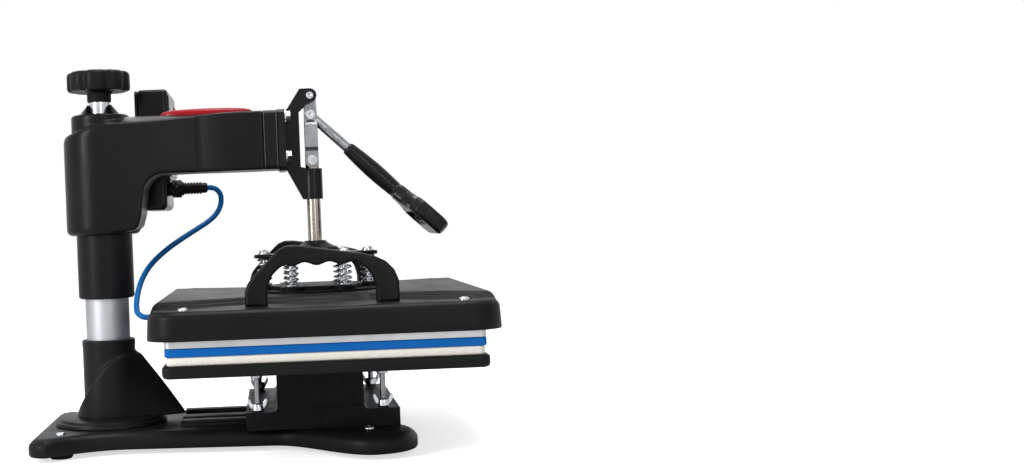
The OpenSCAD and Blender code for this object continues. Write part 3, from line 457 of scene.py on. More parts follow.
class Shells:
    """Closed shells that fuse into one rounded casting."""

    def __init__(self):
        self.mesh = bmesh.new()

    def close(self, rows):
        """Joins rows of points into one closed shell."""
        count = len(rows[0])
        self.mesh.faces.new(rows[0][::-1])
        self.mesh.faces.new(rows[-1])
        for low, high in zip(rows, rows[1:]):
            for i in range(count):
                k = (i + 1) % count
                self.mesh.faces.new((low[i], low[k], high[k], high[i]))
        return self

    def prism(self, outline, low, high, place):
        """An outline drawn straight from one depth to another, put in space by place(u, v, w)."""
        return self.close([[self.mesh.verts.new(place(u, v, w)) for u, v in outline] for w in (low, high)])

    def loft(self, rings):
        """Joins rings of points, given in millimetres, into one closed shell."""
        return self.close([[self.mesh.verts.new(p) for p in ring] for ring in in_metres(rings)])

    def round(self, centre, profile, turns=72):
        """A turned shell about a vertical axis, from (radius, height) pairs."""
        return self.loft(lathe(centre, profile, turns))

    def add(self, obj):
        """Takes in a closed mesh that is already in place, and deletes its object."""
        self.mesh.from_mesh(obj.data)
        bpy.data.objects.remove(obj)
        return self

    def fuse(self, name, voxel, relax, sharp_deg=50):
        """Makes one piece of the shells, with its creases relaxed that many times."""
        bmesh.ops.recalc_face_normals(self.mesh, faces=self.mesh.faces)
        mesh = bpy.data.meshes.new(name)
        self.mesh.to_mesh(mesh)
        self.mesh.free()
        obj = put(name, mesh)
        remesh = obj.modifiers.new("remesh", "REMESH")
        remesh.mode = "VOXEL"
        remesh.voxel_size = voxel * MM
        relaxing = obj.modifiers.new("relax", "SMOOTH")
        relaxing.factor = 0.5
        relaxing.iterations = relax
        return bake(obj, sharp_deg)


def across(u, v, w):
    """Outline drawn in (Y, Z), depth across the machine."""
    return at(w, u, v)


def through(points, per_span):
    """Points on a smooth curve through the given ones."""
    ends = [2 * points[0] - points[1]] + points + [2 * points[-1] - points[-2]]
    out = []
    for i in range(1, len(ends) - 2):
        a, b, c, d = ends[i - 1:i + 3]
        for k in range(per_span):
            t = k / per_span
            out.append(0.5 * (2 * b + (c - a) * t + (2 * a - 5 * b + 4 * c - d) * t ** 2
                              + (3 * b - a - 3 * c + d) * t ** 3))
    return out + [points[-1]]


def sweep_rings(path, radius, sides):
    """Rings of points round a path; the path and radius are in metres."""
    rings = []
    normal = Vector((0.3, 0.2, 1)).normalized()
    for i, p in enumerate(path):
        along = (path[min(i + 1, len(path) - 1)] - path[max(i - 1, 0)]).normalized()
        normal = (normal - along * normal.dot(along)).normalized()
        side = along.cross(normal)
        rings.append([p + radius * (cos(a) * normal + sin(a) * side) for a in circle(sides)])
    return rings


def tubes(name, paths, radius, sides):
    """One mesh of round tubes along paths given in metres."""
    return skins(name, [sweep_rings(path, radius, sides) for path in paths])


def cut(obj, *tools, sharp_deg=SHARP_DEG):
    """Takes the tools' shapes out of a piece and deletes the tools."""
    for tool in tools:
        step = obj.modifiers.new("cut", "BOOLEAN")
        step.operation = "DIFFERENCE"
        step.solver = "EXACT"
        step.object = tool
    obj = bake(obj, sharp_deg)
    for tool in tools:
        bpy.data.objects.remove(tool)
    return obj


# Camera, floor and light

CAMERA_PLACE = at(-1440, 43.7, 236)
CAMERA_SENSOR = 36
CAMERA_LENS = 46.69
CAMERA_SHIFT = (0.2324, -0.0166)
CAMERA_ROLL_DEG = 2.3
WORLD_LIGHT = 0.38
FLOOR_GLOW = 0.64
LAMP_AIM = Vector((0, 0, 0.2))
LAMPS = {
    "key": ((-1.16, 1.4, 0.8), (0.32, 1.1), 26),
    "fill": ((-1.8, -0.62, 0.75), (0.3, 1.1), 5),
    "back": ((1.4, 0.3, 1.2), (1.0, 1.0), 4),
    "top": ((-0.1, -0.1, 1.7), (0.7, 0.6), 19),
}


def make_camera():
    camera = bpy.data.cameras.new("camera")
    camera.sensor_width = CAMERA_SENSOR
    camera.lens = CAMERA_LENS
    camera.shift_x, camera.shift_y = CAMERA_SHIFT
    obj = put("camera", camera)
    facing = Euler((pi / 2, 0, -pi / 2)).to_matrix().to_4x4()
    roll = Matrix.Rotation(-radians(CAMERA_ROLL_DEG), 4, "Z")
    obj.matrix_world = Matrix.Translation(CAMERA_PLACE) @ facing @ roll
    scene.camera = obj


def softbox(name, place, size, energy):
    """An area lamp at a place in metres that faces the middle of the machine."""
    lamp = bpy.data.lights.new(name, "AREA")
    lamp.shape = "RECTANGLE"
    lamp.size, lamp.size_y = size
    lamp.energy = energy
    obj = put(name, lamp)
    obj.location = place
    obj.rotation_euler = (LAMP_AIM - Vector(place)).to_track_quat("-Z", "Y").to_euler()


def make_world():
    """A white room, which lights the machine less than it shows to the camera and in reflections."""
    world = bpy.data.worlds.new("white_room")
    scene.world = world
    world.use_nodes = True
    add, link = world.node_tree.nodes.new, world.node_tree.links.new
    background = world.node_tree.nodes["Background"]
    background.inputs["Color"].default_value = (1, 1, 1, 1)
    rays = add("ShaderNodeLightPath")
    seen = rays.outputs["Is Camera Ray"]
    for ray in ("Is Glossy Ray", "Is Transmission Ray"):
        either = add("ShaderNodeMath")
        either.operation = "MAXIMUM"
        link(seen, either.inputs[0])
        link(rays.outputs[ray], either.inputs[1])
        seen = either.outputs["Value"]
    level = add("ShaderNodeMapRange")
    Finish.fill(level, To_Min=WORLD_LIGHT, To_Max=1.0)
    link(seen, level.inputs["Value"])
    link(level.outputs["Result"], background.inputs["Strength"])


def make_floor():
    half = 6.0
    drop = 0.0004
    corners = [(x, y, -drop) for x, y in rectangle(0, 0, half, half)]
    floor = mesh_piece("floor", corners, [(0, 1, 2, 3)])
    finish = Finish("white_floor", (0.9, 0.9, 0.9), 0.9)
    finish.mottle((0.88, 0.88, 0.88), 3)
    rays = finish.add("ShaderNodeLightPath")
    share = finish.ramp(rays.outputs["Is Camera Ray"], 0.0, FLOOR_GLOW, 0.0, 1.0)
    finish.fill(finish.shader, Emission_Color=(1, 1, 1, 1))
    finish.link(share, finish.shader.inputs["Emission Strength"])
    floor.data.materials.append(finish.material)


def make_stage():
    make_world()
    make_floor()
    for name, (place, size, energy) in LAMPS.items():
        softbox(name, place, size, energy)
    scene.view_settings.view_transform = "Standard"


# Heater lead and plug

CABLE_ROUTE = [(78, 118, 276), (78, 115.5, 276), (78, 110.4, 274.9), (78, 106.4, 272),
               (77.8, 103.8, 267.8), (77.5, 103.1, 262.6), (76.6, 103.9, 256), (74.4, 107, 248.8),
               (70.4, 112.6, 242), (64.6, 120.2, 236), (57.4, 129, 230.5), (49, 138, 225),
               (39.5, 147.5, 219), (28.5, 157.5, 212.3), (16.5, 167, 204.8), (4, 175.5, 196.8),
               (-8, 182.3, 188), (-19, 187.2, 178.3), (-29, 190.1, 168.6), (-37.6, 191.3, 160.4),
               (-44.6, 191.5, 154), (-50.4, 191, 148.8), (-54.1, 190, 145.4), (-57.2, 187.2, 142.6),
               (-59.3, 183, 140.7), (-60, 178, 140.2), (-60, 174, 140.2)]
CABLE_RADIUS = 3.0


def ribbed_plug():
    """The round plug on the control box, turned about the line it points along, with a gripping collar."""
    low, high = node_box("cable_plug")
    centre = (low + high) / 2
    grip_r, knurls, knurl_depth = 9.7, 24, 0.35
    profile = [(8.9, 0), (grip_r, 0.8), (grip_r, 6.5), (9.1, 7.4), (7.9, 7.8), (7.9, 9.5)]
    for k in range(6):
        profile += above(10.5 + 3.4 * k, [(5.9, 0), (6.9, 0.5), (6.9, 2.0), (5.9, 2.5)])
    profile += above(high.y - low.y, [(5.9, -4), (5.7, -1.6), (4.9, -0.4), (3.3, 0)])

    def point(level, angle):
        r, depth = level
        r += knurl_depth * cos(knurls * angle) if r == grip_r else 0.0
        return centre.x + r * cos(angle), high.y - depth, centre.z + r * sin(angle)

    plug = join_rings("ribbed_plug", rings_of(profile, 48, point))
    return dress(plug, "arm", "black_plastic", "cable_plug")


def heater_lead():
    plug = ribbed_plug()
    route = [at(*p) for p in CABLE_ROUTE]
    path = through(route, 4)
    lead = tubes("heater_lead", [path], CABLE_RADIUS * MM, 20)
    lead.data.materials.append(FINISHES["lead"])
    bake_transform(lead)
    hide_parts("heater_cable")
    length = sum((b - a).length for a, b in zip(path, path[1:]))
    [tuple(p) for p in path]


# Base

BASE_FRONT_HALF = 160
BASE_WAIST_HALF = 72
BASE_REAR_HALF = 106
BASE_LOBE_R = 48
BASE_CORNER_R = 20
BASE_BACK = COLUMN_Y + 75
BASE_FRONT = 91
WAIST_Y = COLUMN_Y - 23
WAIST_SPREAD = 0.08
FRONT_BLEND = 95
LOBE_X = BASE_FRONT_HALF - BASE_LOBE_R
LOBE_Y = BASE_LOBE_R - BASE_FRONT
BASE_TOP = node_box("column_socket")[0].z


def base_half(y):
    """Half the base's width at a depth between its back corners and its front lobes."""
    corner_y = BASE_BACK - BASE_CORNER_R
    flare = max(0.0, (y - WAIST_Y) / (corner_y - WAIST_Y))
    spread = BASE_WAIST_HALF + WAIST_SPREAD * max(0.0, WAIST_Y - y)
    lobe = BASE_FRONT_HALF - BASE_WAIST_HALF - WAIST_SPREAD * (WAIST_Y - LOBE_Y)
    rear = (BASE_REAR_HALF - BASE_WAIST_HALF) * flare ** 2
    return spread + rear + lobe * smooth_step(1 - (y - LOBE_Y) / FRONT_BLEND)


def base_outline(inset, z):
    """The base's plan at a height: back corners, a waist, and two round lobes in front."""
    corner_y = BASE_BACK - BASE_CORNER_R
    right = arc(BASE_REAR_HALF - BASE_CORNER_R, corner_y, BASE_CORNER_R - inset, 90, 0, 12)
    steps = 48
    for i in range(1, steps):
        y = corner_y + (LOBE_Y - corner_y) * i / steps
        right.append((base_half(y) - inset, y))
    right += arc(LOBE_X, LOBE_Y, BASE_LOBE_R - inset, 0, -140, 24)
    last_x, last_y = right[-1]
    middle_y = 32 + inset - BASE_FRONT
    steps = 12
    for i in range(1, steps + 1):
        t = i / steps
        right.append((last_x * (1 - t), last_y + (middle_y - last_y) * smooth_step(t)))
    left = [(-x, y) for x, y in right[-2::-1]]
    return [(x, y, z) for x, y in right + left]


def base_plate():
    """The base casting: an upright rim, a broad soft shoulder, and rails towards the press; hollow below."""
    bottom = node_box("rubber_feet")[1].z
    top = BASE_TOP
    profile = above(top, [(18, -5)]) + above(bottom, [(18, 0.4), (4, 0), (1.4, 0.5), (0.3, 1.8), (0, 4)])
    profile += above(top, [(0, -9), (0.5, -7.2), (1.7, -5.2), (3.6, -3.2), (6, -1.5), (8.6, -0.4), (11, 0)])
    rings = [base_outline(inset, z) for inset, z in profile]
    dress(join_rings("base_casting", rings), "base", "cast_black", "base_plate")
    back, front = node_box("column_socket")[0].y + 4, node_box("tray_pedestal")[1].y
    mid = (back + front) / 2
    rails = (("left", -1, 34, 53, 5.6), ("right", 1, 34, 53, 5.6), ("middle", 1, -12, 12, 4.4))
    sunk, step_w, step_h = 2, 4, 2.4
    for name, side, x0, x1, rise in rails:
        step_z = rise - step_h
        x2 = x1 - step_w
        rail = [(x0, -sunk), (x1, -sunk), (x1, step_z), (x2, step_z), (x2, rise), (x0, rise)]
        rail = [(side * x, z) for x, z in rail]
        obj = plate(f"base_rail_{name}", [rounded(rail, 0.8, 3)], back - front, 0.5,
                    lambda u, v, w: at(u, mid + w, top + v))
        dress(obj, "base", "cast_black")


def column_socket():
    """The foot of the column: a cup with a slanting collar that runs out into a fin towards the press."""
    low, high = node_box("column_socket")
    centre = (0, COLUMN_Y)
    floor_z, top = low.z, high.z
    cup_r, bore_r = 28.7, 24.4
    flange = above(floor_z, [(59.2, 0), (60, 0.8), (60, 3.2), (59.4, 4.2), (58, 4.8), (56.4, 5), (55.8, 6),
                             (55, 7.2), (52.5, 8), (cup_r, 8.4)])
    dress(join_rings("socket_flange", lathe(centre, flange, 96)), "base", "cast_black", "column_socket")
    cup = above(floor_z, [(cup_r - 0.4, 6)])
    cup += above(top, [(cup_r - 0.4, -9), (cup_r, -7), (cup_r, -1.2), (cup_r - 1.4, 0)])
    cup += above(top, [(bore_r, 0), (bore_r, -10), (20, -12)])
    shells = Shells().round(centre, cup)
    collar_back, collar_front, ledge_depth = 38, 101, 3.6
    skirt_low, skirt_spread = floor_z + 7, 70
    tip_reach, tip_r = COLUMN_Y - low.y, 4.5

    def collar(t, angle):
        lean = 1 - (0.5 + 0.5 * sin(angle)) ** 2.5
        z = skirt_low + (collar_back + (collar_front - collar_back) * lean - skirt_low) * t
        ledge = ledge_depth * sqrt(max(0.0, 1 - max(0.0, (t - 0.9) / 0.1) ** 2))
        r = cup_r + ledge + ledge_depth * (1 - smooth_step((z - skirt_low) / skirt_spread))
        reach = tip_reach - (tip_reach - r) * (z - skirt_low) / (collar_front - skirt_low) - tip_r
        off = abs((angle - pi / 2) % (2 * pi) - pi)
        tangent = acos((r - tip_r) / max(reach, r))
        if off < tangent:
            r = max(r, min(r / cos(tangent - off), reach + tip_r))
        return r * cos(angle), COLUMN_Y + r * sin(angle), z

    levels = 16
    shells.loft(rings_of([k / levels for k in range(levels + 1)], 120, collar))
    dress(shells.fuse("socket_casting", 1.2, 5), "base", "cast_black")


def rounded_slab(name, low, high, corner, low_edge, high_edge, sag=0.0, hollow=0.0):
    """A rounded plate that fills a box about the press axis, with its own edge radius above and below.

    sag bows the sides inwards, and hollow is how deep the underside is scooped out.
    """
    least_corner, round_steps, side_steps, rim = 0.2, 6, 14, 14
    half_x, half_y = (high.x - low.x) / 2, (high.y - low.y) / 2

    def ring(inset, z):
        r = max(corner - inset, least_corner)
        outline = box_ring(half_x - inset, half_y - inset, r, round_steps, side_steps, sag)
        return [(x, y, z) for x, y in outline]

    rings = []
    if hollow:
        rings += [ring(rim, low.z + hollow), ring(rim - 1, low.z)]
    quarter = [radians(angle) for angle in (0, 30, 60, 90)]
    for a in quarter:
        rings.append(ring(low_edge * (1 - sin(a)), low.z + low_edge * (1 - cos(a))))
    for a in quarter[::-1]:
        rings.append(ring(high_edge * (1 - sin(a)), high.z - high_edge * (1 - cos(a))))
    return join_rings(name, rings)


def pads_and_tray():
    """The lower table's tray and the two pads that lie on it."""
    tray = rounded_slab("tray_pan", *node_box("lower_tray"), 9, 4.0, 2.4, hollow=8.0)
    dress(tray, "base", "tray", "lower_tray")
    foam = rounded_slab("foam_cushion", *node_box("foam_pad"), 6, 1.6, 1.6, 0.7)
    dress(foam, "base", "foam", "foam_pad")
    sheet = rounded_slab("silicone_sheet", *node_box("silicone_pad"), 5, 1.2, 1.2, 0.4)
    dress(sheet, "base", "silicone", "silicone_pad")


def butterfly(name, cx, cy, low_z):
    """A butterfly nut: a turned boss with two rounded wings that rise along the machine."""
    boss = above(low_z, [(5.6, 0), (6.1, 0.8), (5.8, 4), (5.2, 7.4), (4.6, 8.2)])
    shells = Shells().round((cx, cy), boss, 32)
    side = [(2.6, 1), (5.6, 1), (7.8, 4.2), (9.8, 8), (10.4, 11.6), (9.4, 13), (7.6, 12.4), (6, 9),
            (4.4, 6.4), (2.6, 6.4)]
    half_thick = 1.6
    for sign in (-1, 1):
        shells.prism([(sign * u, v) for u, v in side], -half_thick, half_thick,
                     lambda u, v, w: at(cx + w, cy + u, low_z + v))
    return shells.fuse(name, 0.5, 3)


def wing_nuts():
    """Four butterfly nuts that turn on the studs, and four that lock the studs under the tray."""
    bodies = ("nut_front_left", "nut_front_right", "nut_back_left", "nut_back_right")
    lock_drop = 13.5
    lock_z = node_box("lower_tray")[0].z - lock_drop
    for k, body in enumerate(bodies):
        node = f"wing_nut_{k + 1}"
        cx, cy, _ = node_middle(node)
        nut = butterfly(f"butterfly_{k + 1}", cx, cy, node_box(node)[0].z)
        dress(nut, body, "steel", node)
        dress(butterfly(f"lock_nut_{k + 1}", cx, cy, lock_z), "base", "steel")


# Arm

WAIST_AT = 122
WAIST_BEAM_HALF = 23.5
BLOCK_BEAM_HALF = 34.0
FLARE_POWER = 2.2
HOUSING_R = 40


def beam_half(y, front):
    """Half the beam's width: it narrows from the housing to a waist, then flares to the front block."""
    if y < WAIST_AT:
        t = (y - front) / (WAIST_AT - front)
        return BLOCK_BEAM_HALF - (BLOCK_BEAM_HALF - WAIST_BEAM_HALF) * t ** FLARE_POWER
    t = min(1.0, (y - WAIST_AT) / (COLUMN_Y - 6 - WAIST_AT))
    bulge = 0.25
    return WAIST_BEAM_HALF + (HOUSING_R - 0.4 - WAIST_BEAM_HALF) * ((1 + bulge) * t - bulge * t * t)


def arm_casting():
    """The arm: a round housing with a slanting shoulder, a hub, and a crowned beam with a gusset below."""
    low, high = node_box("arm_casting")
    floor_z, hub_top = low.z, high.z
    top = hub_top - 3
    hub_r, back_y = 31, COLUMN_Y + HOUSING_R
    shoulder_back, shoulder_slope = 333, 0.29

    def housing(level, angle):
        inset, t = level
        r = HOUSING_R - inset
        y = COLUMN_Y + r * sin(angle)
        z_top = min(top - 6, shoulder_back + shoulder_slope * (back_y - y))
        return r * cos(angle), y, floor_z + (z_top - floor_z) * t

    levels = ((6, 0), (2.2, 0.012), (0.6, 0.034), (0, 0.06), (0, 0.94), (0.8, 0.975), (2.4, 1.0))
    shells = Shells().loft(rings_of(levels, 96, housing))
    hub = above(floor_z, [(hub_r, 40)]) + above(hub_top, [(hub_r, -3), (hub_r - 0.8, -1), (hub_r - 3, 0)])
    shells.round((0, COLUMN_Y), hub, 96)
    front, under = low.y, node_box("arm_end_block")[0].z
    throat, fillet = COLUMN_Y - HOUSING_R - 7, 22
    keel = [(front + (throat - fillet - front) * k / 24, under) for k in range(25)]
    keel += arc(throat - fillet, under - fillet, fillet, 82, 2, 10) + [(throat + 0.6, under - fillet - 4)]
    keel += above(floor_z, [(throat + 3, 20), (throat + 6.5, 8), (throat + 11, 4), (throat + 20, 3),
                            (COLUMN_Y - 8, 3)])
    rings = []
    soft, crown_steps = 1.2, 6
    for y, z_low in keel:
        half = beam_half(y, front)
        edge = top - 1.5 - 7.0 * smooth_step((y - front - 20) / 130)
        rise = [(half - 1.5, z_low), (half, z_low + 2.0), (half, edge - 2.0), (half - soft, edge)]
        for k in range(1, crown_steps):
            t = k / crown_steps
            rise.append(((half - soft) * (1 - t), edge + (top - edge) * sin(pi * t / 2)))
        ring = rise + [(0, top)] + [(-x, z) for x, z in rise[::-1]]
        rings.append([(x, y, z) for x, z in ring])
    shells.loft(rings)
    low, high = node_box("box_bracket")
    half = (high - low) / 2
    pad = rectangle(low.y + half.y, low.z + half.z - 0.5, half.y + 2, half.z + 1.5)
    shells.prism(pad, WAIST_BEAM_HALF - 3, low.x + 0.2, across)
    dress(shells.fuse("arm_body", 1.4, 4), "arm", "cast_grey", "arm_casting")


def arm_details():
    """The red inlay on the arm, and the seam lines at its front block, whose pale grey is a painted
    highlight.
    """
    low, high = node_box("arm_inlay")
    mid_y, half_y = (low.y + high.y) / 2, (high.y - low.y) / 2
    half_x = (high.x - low.x) / 2

    def lens(level, angle):
        scale, z = level
        blunt = 1.0 if sin(angle) < 0 else 0.75
        pull = copysign(abs(cos(angle)) ** blunt, cos(angle))
        return scale * half_x * pull, mid_y + scale * half_y * sin(angle), z

    levels = above(low.z, [(1.0, -5), (1.0, 0.4), (0.985, 1.6), (0.94, 3.0), (0.84, 4.3)])
    levels += above(high.z, [(0.62, -0.7), (0.3, -0.15), (0.05, 0)])
    dress(join_rings("inlay_lens", rings_of(levels, 64, lens)), "arm", "red_plastic", "arm_inlay")
    low, high = node_box("arm_end_block")
    reach, line, corner = 0.3, 0.6, 4
    half_x, half_z = (high.x - low.x) / 2 + reach, (high.z - low.z) / 2 + reach
    block = rectangle((low.x + high.x) / 2, (low.z + high.z) / 2, half_x, half_z)
    # Thin rings round the front block, pale as a painted highlight along its joints.
    for k, y in enumerate((high.y + 1.4, high.y - 1.6, low.y + 1.2)):
        obj = plate(f"arm_seam_highlight_{k + 1}", [rounded(block, corner)], line, line / 4,
                    lambda u, v, w: at(u, y + w, v))
        dress(obj, "arm", "seam_highlight")


def height_knob():
    """The lobed knob above the column: a rounded rim, a hollowed underside and a turned hub."""
    low, high = node_box("height_knob")
    top, rim, boss = high.z, high.z - 22, low.z
    lobes = 8
    profile = above(boss, [(9, 0), (12.4, 0.8), (13, 2.5)])
    profile += above(rim, [(13, -3), (14.5, -0.5), (18, 1.2), (24, 1.6), (29, 0.8), (31, 0.2), (33, 1.0),
                           (34, 3.2)])
    profile += above(top, [(34, -5), (33.2, -2.4), (31.2, -0.8), (28.5, -0.2), (26, -0.6), (25, -1.2),
                           (10, -1.0), (2, -0.9)])

    def lobed(angle, r):
        share = smooth_step((r - 17) / 12)
        return r * (1 - 0.1 * share * (0.5 - 0.5 * cos(lobes * angle)) ** 3.5)

    knob = join_rings("lobed_knob", lathe((0, COLUMN_Y), profile, 160, lobed))
    dress(knob, "knob", "black_plastic", "height_knob")


# Control box

def control_box():
    """The box's rounded case, whose lower front is set back under the panel."""
    low, high = node_box("box_shell")
    width = high.x - low.x
    mid_x = (low.x + high.x) / 2
    step, corner = 4.5, 5
    side = [(low.y, high.z), (low.y, low.z + 36), (low.y + step, low.z + 29), (low.y + step, low.z + 5),
            (low.y + step + 3, low.z), (high.y, low.z), (high.y, high.z)]
    case = plate("control_case", [rounded(side, corner)], width, corner,
                 lambda u, v, w: at(mid_x + w, u, v), 5)
    dress(case, "arm", "gloss_plastic", "box_shell")


def printed(name, outlines, depth, y, finish, body):
    """Thin marks on the panel's face, drawn in (X, Z)."""
    obj = plate(name, outlines, depth, depth * 0.2, lambda u, v, w: at(u, y - w, v), 1)
    return dress(obj, body, finish)


def ring_outline(cx, cz, half_w, half_h, corner, line):
    """Two nested outlines that make a rounded frame of that line width."""
    outer = rectangle(cx, cz, half_w, half_h)
    inner = rectangle(cx, cz, half_w - line, half_h - line)[::-1]
    return [rounded(outer, corner), rounded(inner, corner)]


def thin_ring(cx, cz, outer_r, inner_r):
    """Two nested circles that make a thin ring."""
    return [arc(cx, cz, outer_r, 0, 350, 35), arc(cx, cz, inner_r, 0, -350, 35)]


def panel_details():
    """The printed frames and rings of the control panel."""
    low, high = node_box("control_panel")
    face = low.y
    windows_low, windows_high = node_box("display_windows")
    mid_x = (windows_low.x + windows_high.x) / 2
    frame_half_w, frame_half_h, frame_drop = 32, 41, 43
    panel_lines = ring_outline(mid_x, high.z - frame_drop, frame_half_w, frame_half_h, 5, 0.8)
    printed("panel_frame", panel_lines, 0.3, face, "grey_print", "arm")
    half_w, half_h, margin = 19, 10.5, 1.2
    for k, z in enumerate((windows_high.z - half_h, windows_low.z + half_h)):
        frame_lines = ring_outline(mid_x, z, half_w + margin, half_h + margin, 1.5, 1.3)
        printed(f"display_frame_{k + 1}", frame_lines, 0.5, face, "white_print", "arm")
    lamp_z = node_middle("indicator_lamps").z
    lamp_step = 15
    for k in (-1, 0, 1):
        circles = thin_ring(mid_x + lamp_step * k, lamp_z, 3.0, 2.2)
        printed(f"lamp_ring_{k + 2}", circles, 0.4, face, "white_print", "arm")


def icon_lines(kind, cx, cz):
    """Outlines of a plain sign for a button."""
    bar, reach = 0.55, 2.6
    if kind == "minus":
        return [rectangle(cx, cz, reach, bar)]
    if kind == "plus":
        return [[(cx + u, cz + v) for u, v in cross(bar, reach)]]
    if kind == "mode":
        return thin_ring(cx, cz, 2.8, 1.8)
    return [[(cx - 2.4, cz - 2.2), (cx - 1.2, cz - 2.6), (cx + 0.3, cz + 0.2), (cx + 2.6, cz + 1.0),
             (cx + 1.6, cz + 2.4), (cx - 0.4, cz + 1.2)]]


def buttons():
    """Four red push buttons with domed faces and white signs."""
    for kind in ("plus", "minus", "mode", "heat"):
        low, high = node_box(f"button_{kind}")
        cx, _, cz = (low + high) / 2
        half_w, half_h = (high.x - low.x) / 2, (high.z - low.z) / 2

        def cap(level, angle):
            inset, y = level
            r = half_h - inset
            shift = copysign(half_w - half_h, cos(angle))
            return cx + shift + r * cos(angle), y, cz + r * sin(angle)

        levels = [(0, high.y)] + above(low.y, [(0, 2.2), (0.3, 1.3), (1.1, 0.6), (2.4, 0.2), (4.0, 0)])
        rings = rings_of(levels, 48, cap)
        body = f"{kind}_key"
        dress(join_rings(f"cap_{kind}", rings), body, "red_plastic", f"button_{kind}")
        printed(f"sign_{kind}", icon_lines(kind, cx, cz), 0.3, low.y, "white_print", body)


# Toggle and lever

LEVER_ANGLE_DEG = 43.5


def lever_place(x, along, lift):
    """A point on the lever, from the link pin: across, along its length, and off its plane."""
    pin = node_middle("link_pin")
    turn = radians(LEVER_ANGLE_DEG)
    y = -along * cos(turn) - lift * sin(turn)
    z = -along * sin(turn) + lift * cos(turn)
    return at(x, pin.y + y, pin.z + z)


def lever_rings(sections, sides):
    """Oval rings along the lever, from its (along, half width, half height) sections."""
    def point(section, angle):
        along, half_x, half_lift = section
        return from_axis(lever_place(half_x * cos(angle), along, half_lift * sin(angle)))

    return rings_of(sections, sides, point)


def lever_rod():
    """The lever's steel bar: a flat crank between its two pins, which rounds into the handle's rod."""
    half = node_box("lever_bar")[1].x
    pin, pivot = node_middle("link_pin"), node_middle("lever_pivot_pin")
    pin_eye_r, pivot_eye_r = 7, 6.5
    crank = arc(pivot.y, pivot.z, pivot_eye_r, 0, 180, 16) + arc(pin.y, pin.z, pin_eye_r, 180, 360, 16)
    sections = ((-2, half, 5), (22, half, 5), (27, 4.3, 5.2), (33, 5.2, 5.3), (62, 5.2, 5.3))
    shells = Shells().prism(crank, -half, half, across)
    shells.loft(lever_rings(sections, 32))
    dress(shells.fuse("lever_rod", 0.6, 3), "lever", "lever_steel", "lever_bar")


def lever_handle():
    """The lever's moulded handle: a tapering neck that opens into a closed loop with a grip bar."""
    neck_start, neck_end = 53, 134
    loop_start, loop_end, loop_half = 122, 188, 49.5
    thick, bar, side_w = 17, 21, 9.5
    outer = above(loop_start, [(-11, 0), (11, 0), (17, 12), (28, 18), (40, 21), (loop_half - 2, 28),
                               (loop_half, 38)])
    outer += above(loop_end, [(loop_half - 1, -10), (loop_half - 6, -3), (loop_half - 14, 0)])
    outer += [(-x, v) for x, v in outer[:1:-1]]
    hole_half = loop_half - side_w
    near, far = loop_start + 30, loop_end - bar
    waves = [(x, far - 1.6 * cos(2 * pi * x / 20)) for x in range(-30, 31, 3)]
    hole = ([(-hole_half + 6, near), (-hole_half, near + 6), (-hole_half, far - 5)] + waves
            + [(hole_half, far - 5), (hole_half, near + 6), (hole_half - 6, near)])
    loop = plate("handle_loop", [outer, hole], thick, 4.5, lever_place, 5)
    neck = above(neck_start, [(6.0, 0), (7.0, 1), (7.5, 4), (8.6, 18), (9.4, 36), (9.3, 50)])
    neck += above(neck_end, [(8.6, -16), (7.9, -6), (6.4, 0)])
    shells = Shells().add(loop)
    shells.loft(lever_rings([(along, r, r) for r, along in neck], 40))
    handle = shells.fuse("lever_grip", 1.0, 12, 180)
    dress(handle, "lever", "gloss_handle", "lever_handle")


# Spring pack

SPRINGS = 6
SPRING_CIRCLE = 56
SPRING_R = 8
SPRING_PLATE_T = 4


def spring_places():
    """Where the springs stand in plan, the first of them in front."""
    return [(SPRING_CIRCLE * sin(a), -SPRING_CIRCLE * cos(a)) for a in circle(SPRINGS)]


def pressure_springs():
    low, high = node_box("pressure_springs")
    wire, turns, per_turn = 1.0, 6, 28
    radius = SPRING_R - wire
    paths = []
    for cx, cy in spring_places():
        path = []
        for i in range(turns * per_turn + 1):
            t = i / (turns * per_turn)
            flat_end = min(1.0, max(0.0, (t * turns - 0.6) / (turns - 1.2)))
            angle = 2 * pi * turns * t
            path.append(at(cx + radius * cos(angle), cy + radius * sin(angle),
                           low.z + wire + (high.z - low.z - 2 * wire) * flat_end))
        paths.append(path)
    springs = tubes("coil_springs", paths, wire * MM, 10)
    dress(springs, "platen", "steel", "pressure_springs")
    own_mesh(springs)


def upper_plate():
    """The six-lobed plate that presses the springs, domed up to the ram."""
    low, high = node_box("upper_spring_plate")
    rim = low.z + SPRING_PLATE_T
    turns = 144
    reach, waist = 67, 50

    def lobed(angle, share):
        wave = cos(SPRINGS * (angle + pi / 2))
        return share * ((reach + waist) / 2 + (reach - waist) / 2 * wave)

    brim = above(low.z, [(0.2, 0), (0.985, 0), (1.0, 0.7)]) + above(rim, [(1.0, -1), (0.985, 0), (0.8, 0.2)])
    dome = above(rim, [(36, 1.2), (30, 3), (24, 5.2), (19, 7.4), (15, 9.6), (12.5, 11.4)])
    dome += above(high.z, [(11.5, -0.4), (10.8, 0)])
    rings = lathe((0, 0), brim, turns, lobed) + lathe((0, 0), dome, turns)
    plate_shape = join_rings("spring_dome", rings, sharp_deg=50)
    slots = []
    for k in range(4):
        mid, half = 90 * k + 45, 17
        slot = arc(0, 0, 29, mid - half, mid + half, 10) + arc(0, 0, 24, mid + half, mid - half, 10)
        slots.append(plate(f"slot_{k}", [rounded(slot, 1.5, 2)], 30, 0.1,
                           lambda u, v, w: at(u, v, rim + 14 + w)))
    dress(cut(plate_shape, *slots, sharp_deg=50), "ram", "steel_black", "upper_spring_plate")


def cross_cut(places, width, reach, z, depth):
    """Cross-shaped tools that cut the drive of a screw at each place."""
    tools = []
    for k, (x, y) in enumerate(places):
        shape = [(x + u, y + v) for u, v in cross(width / 2, reach)]
        tools.append(plate(f"drive_{k}", [shape], 2 * depth, 0.02, lambda u, v, w: at(u, v, z + w)))
    return tools


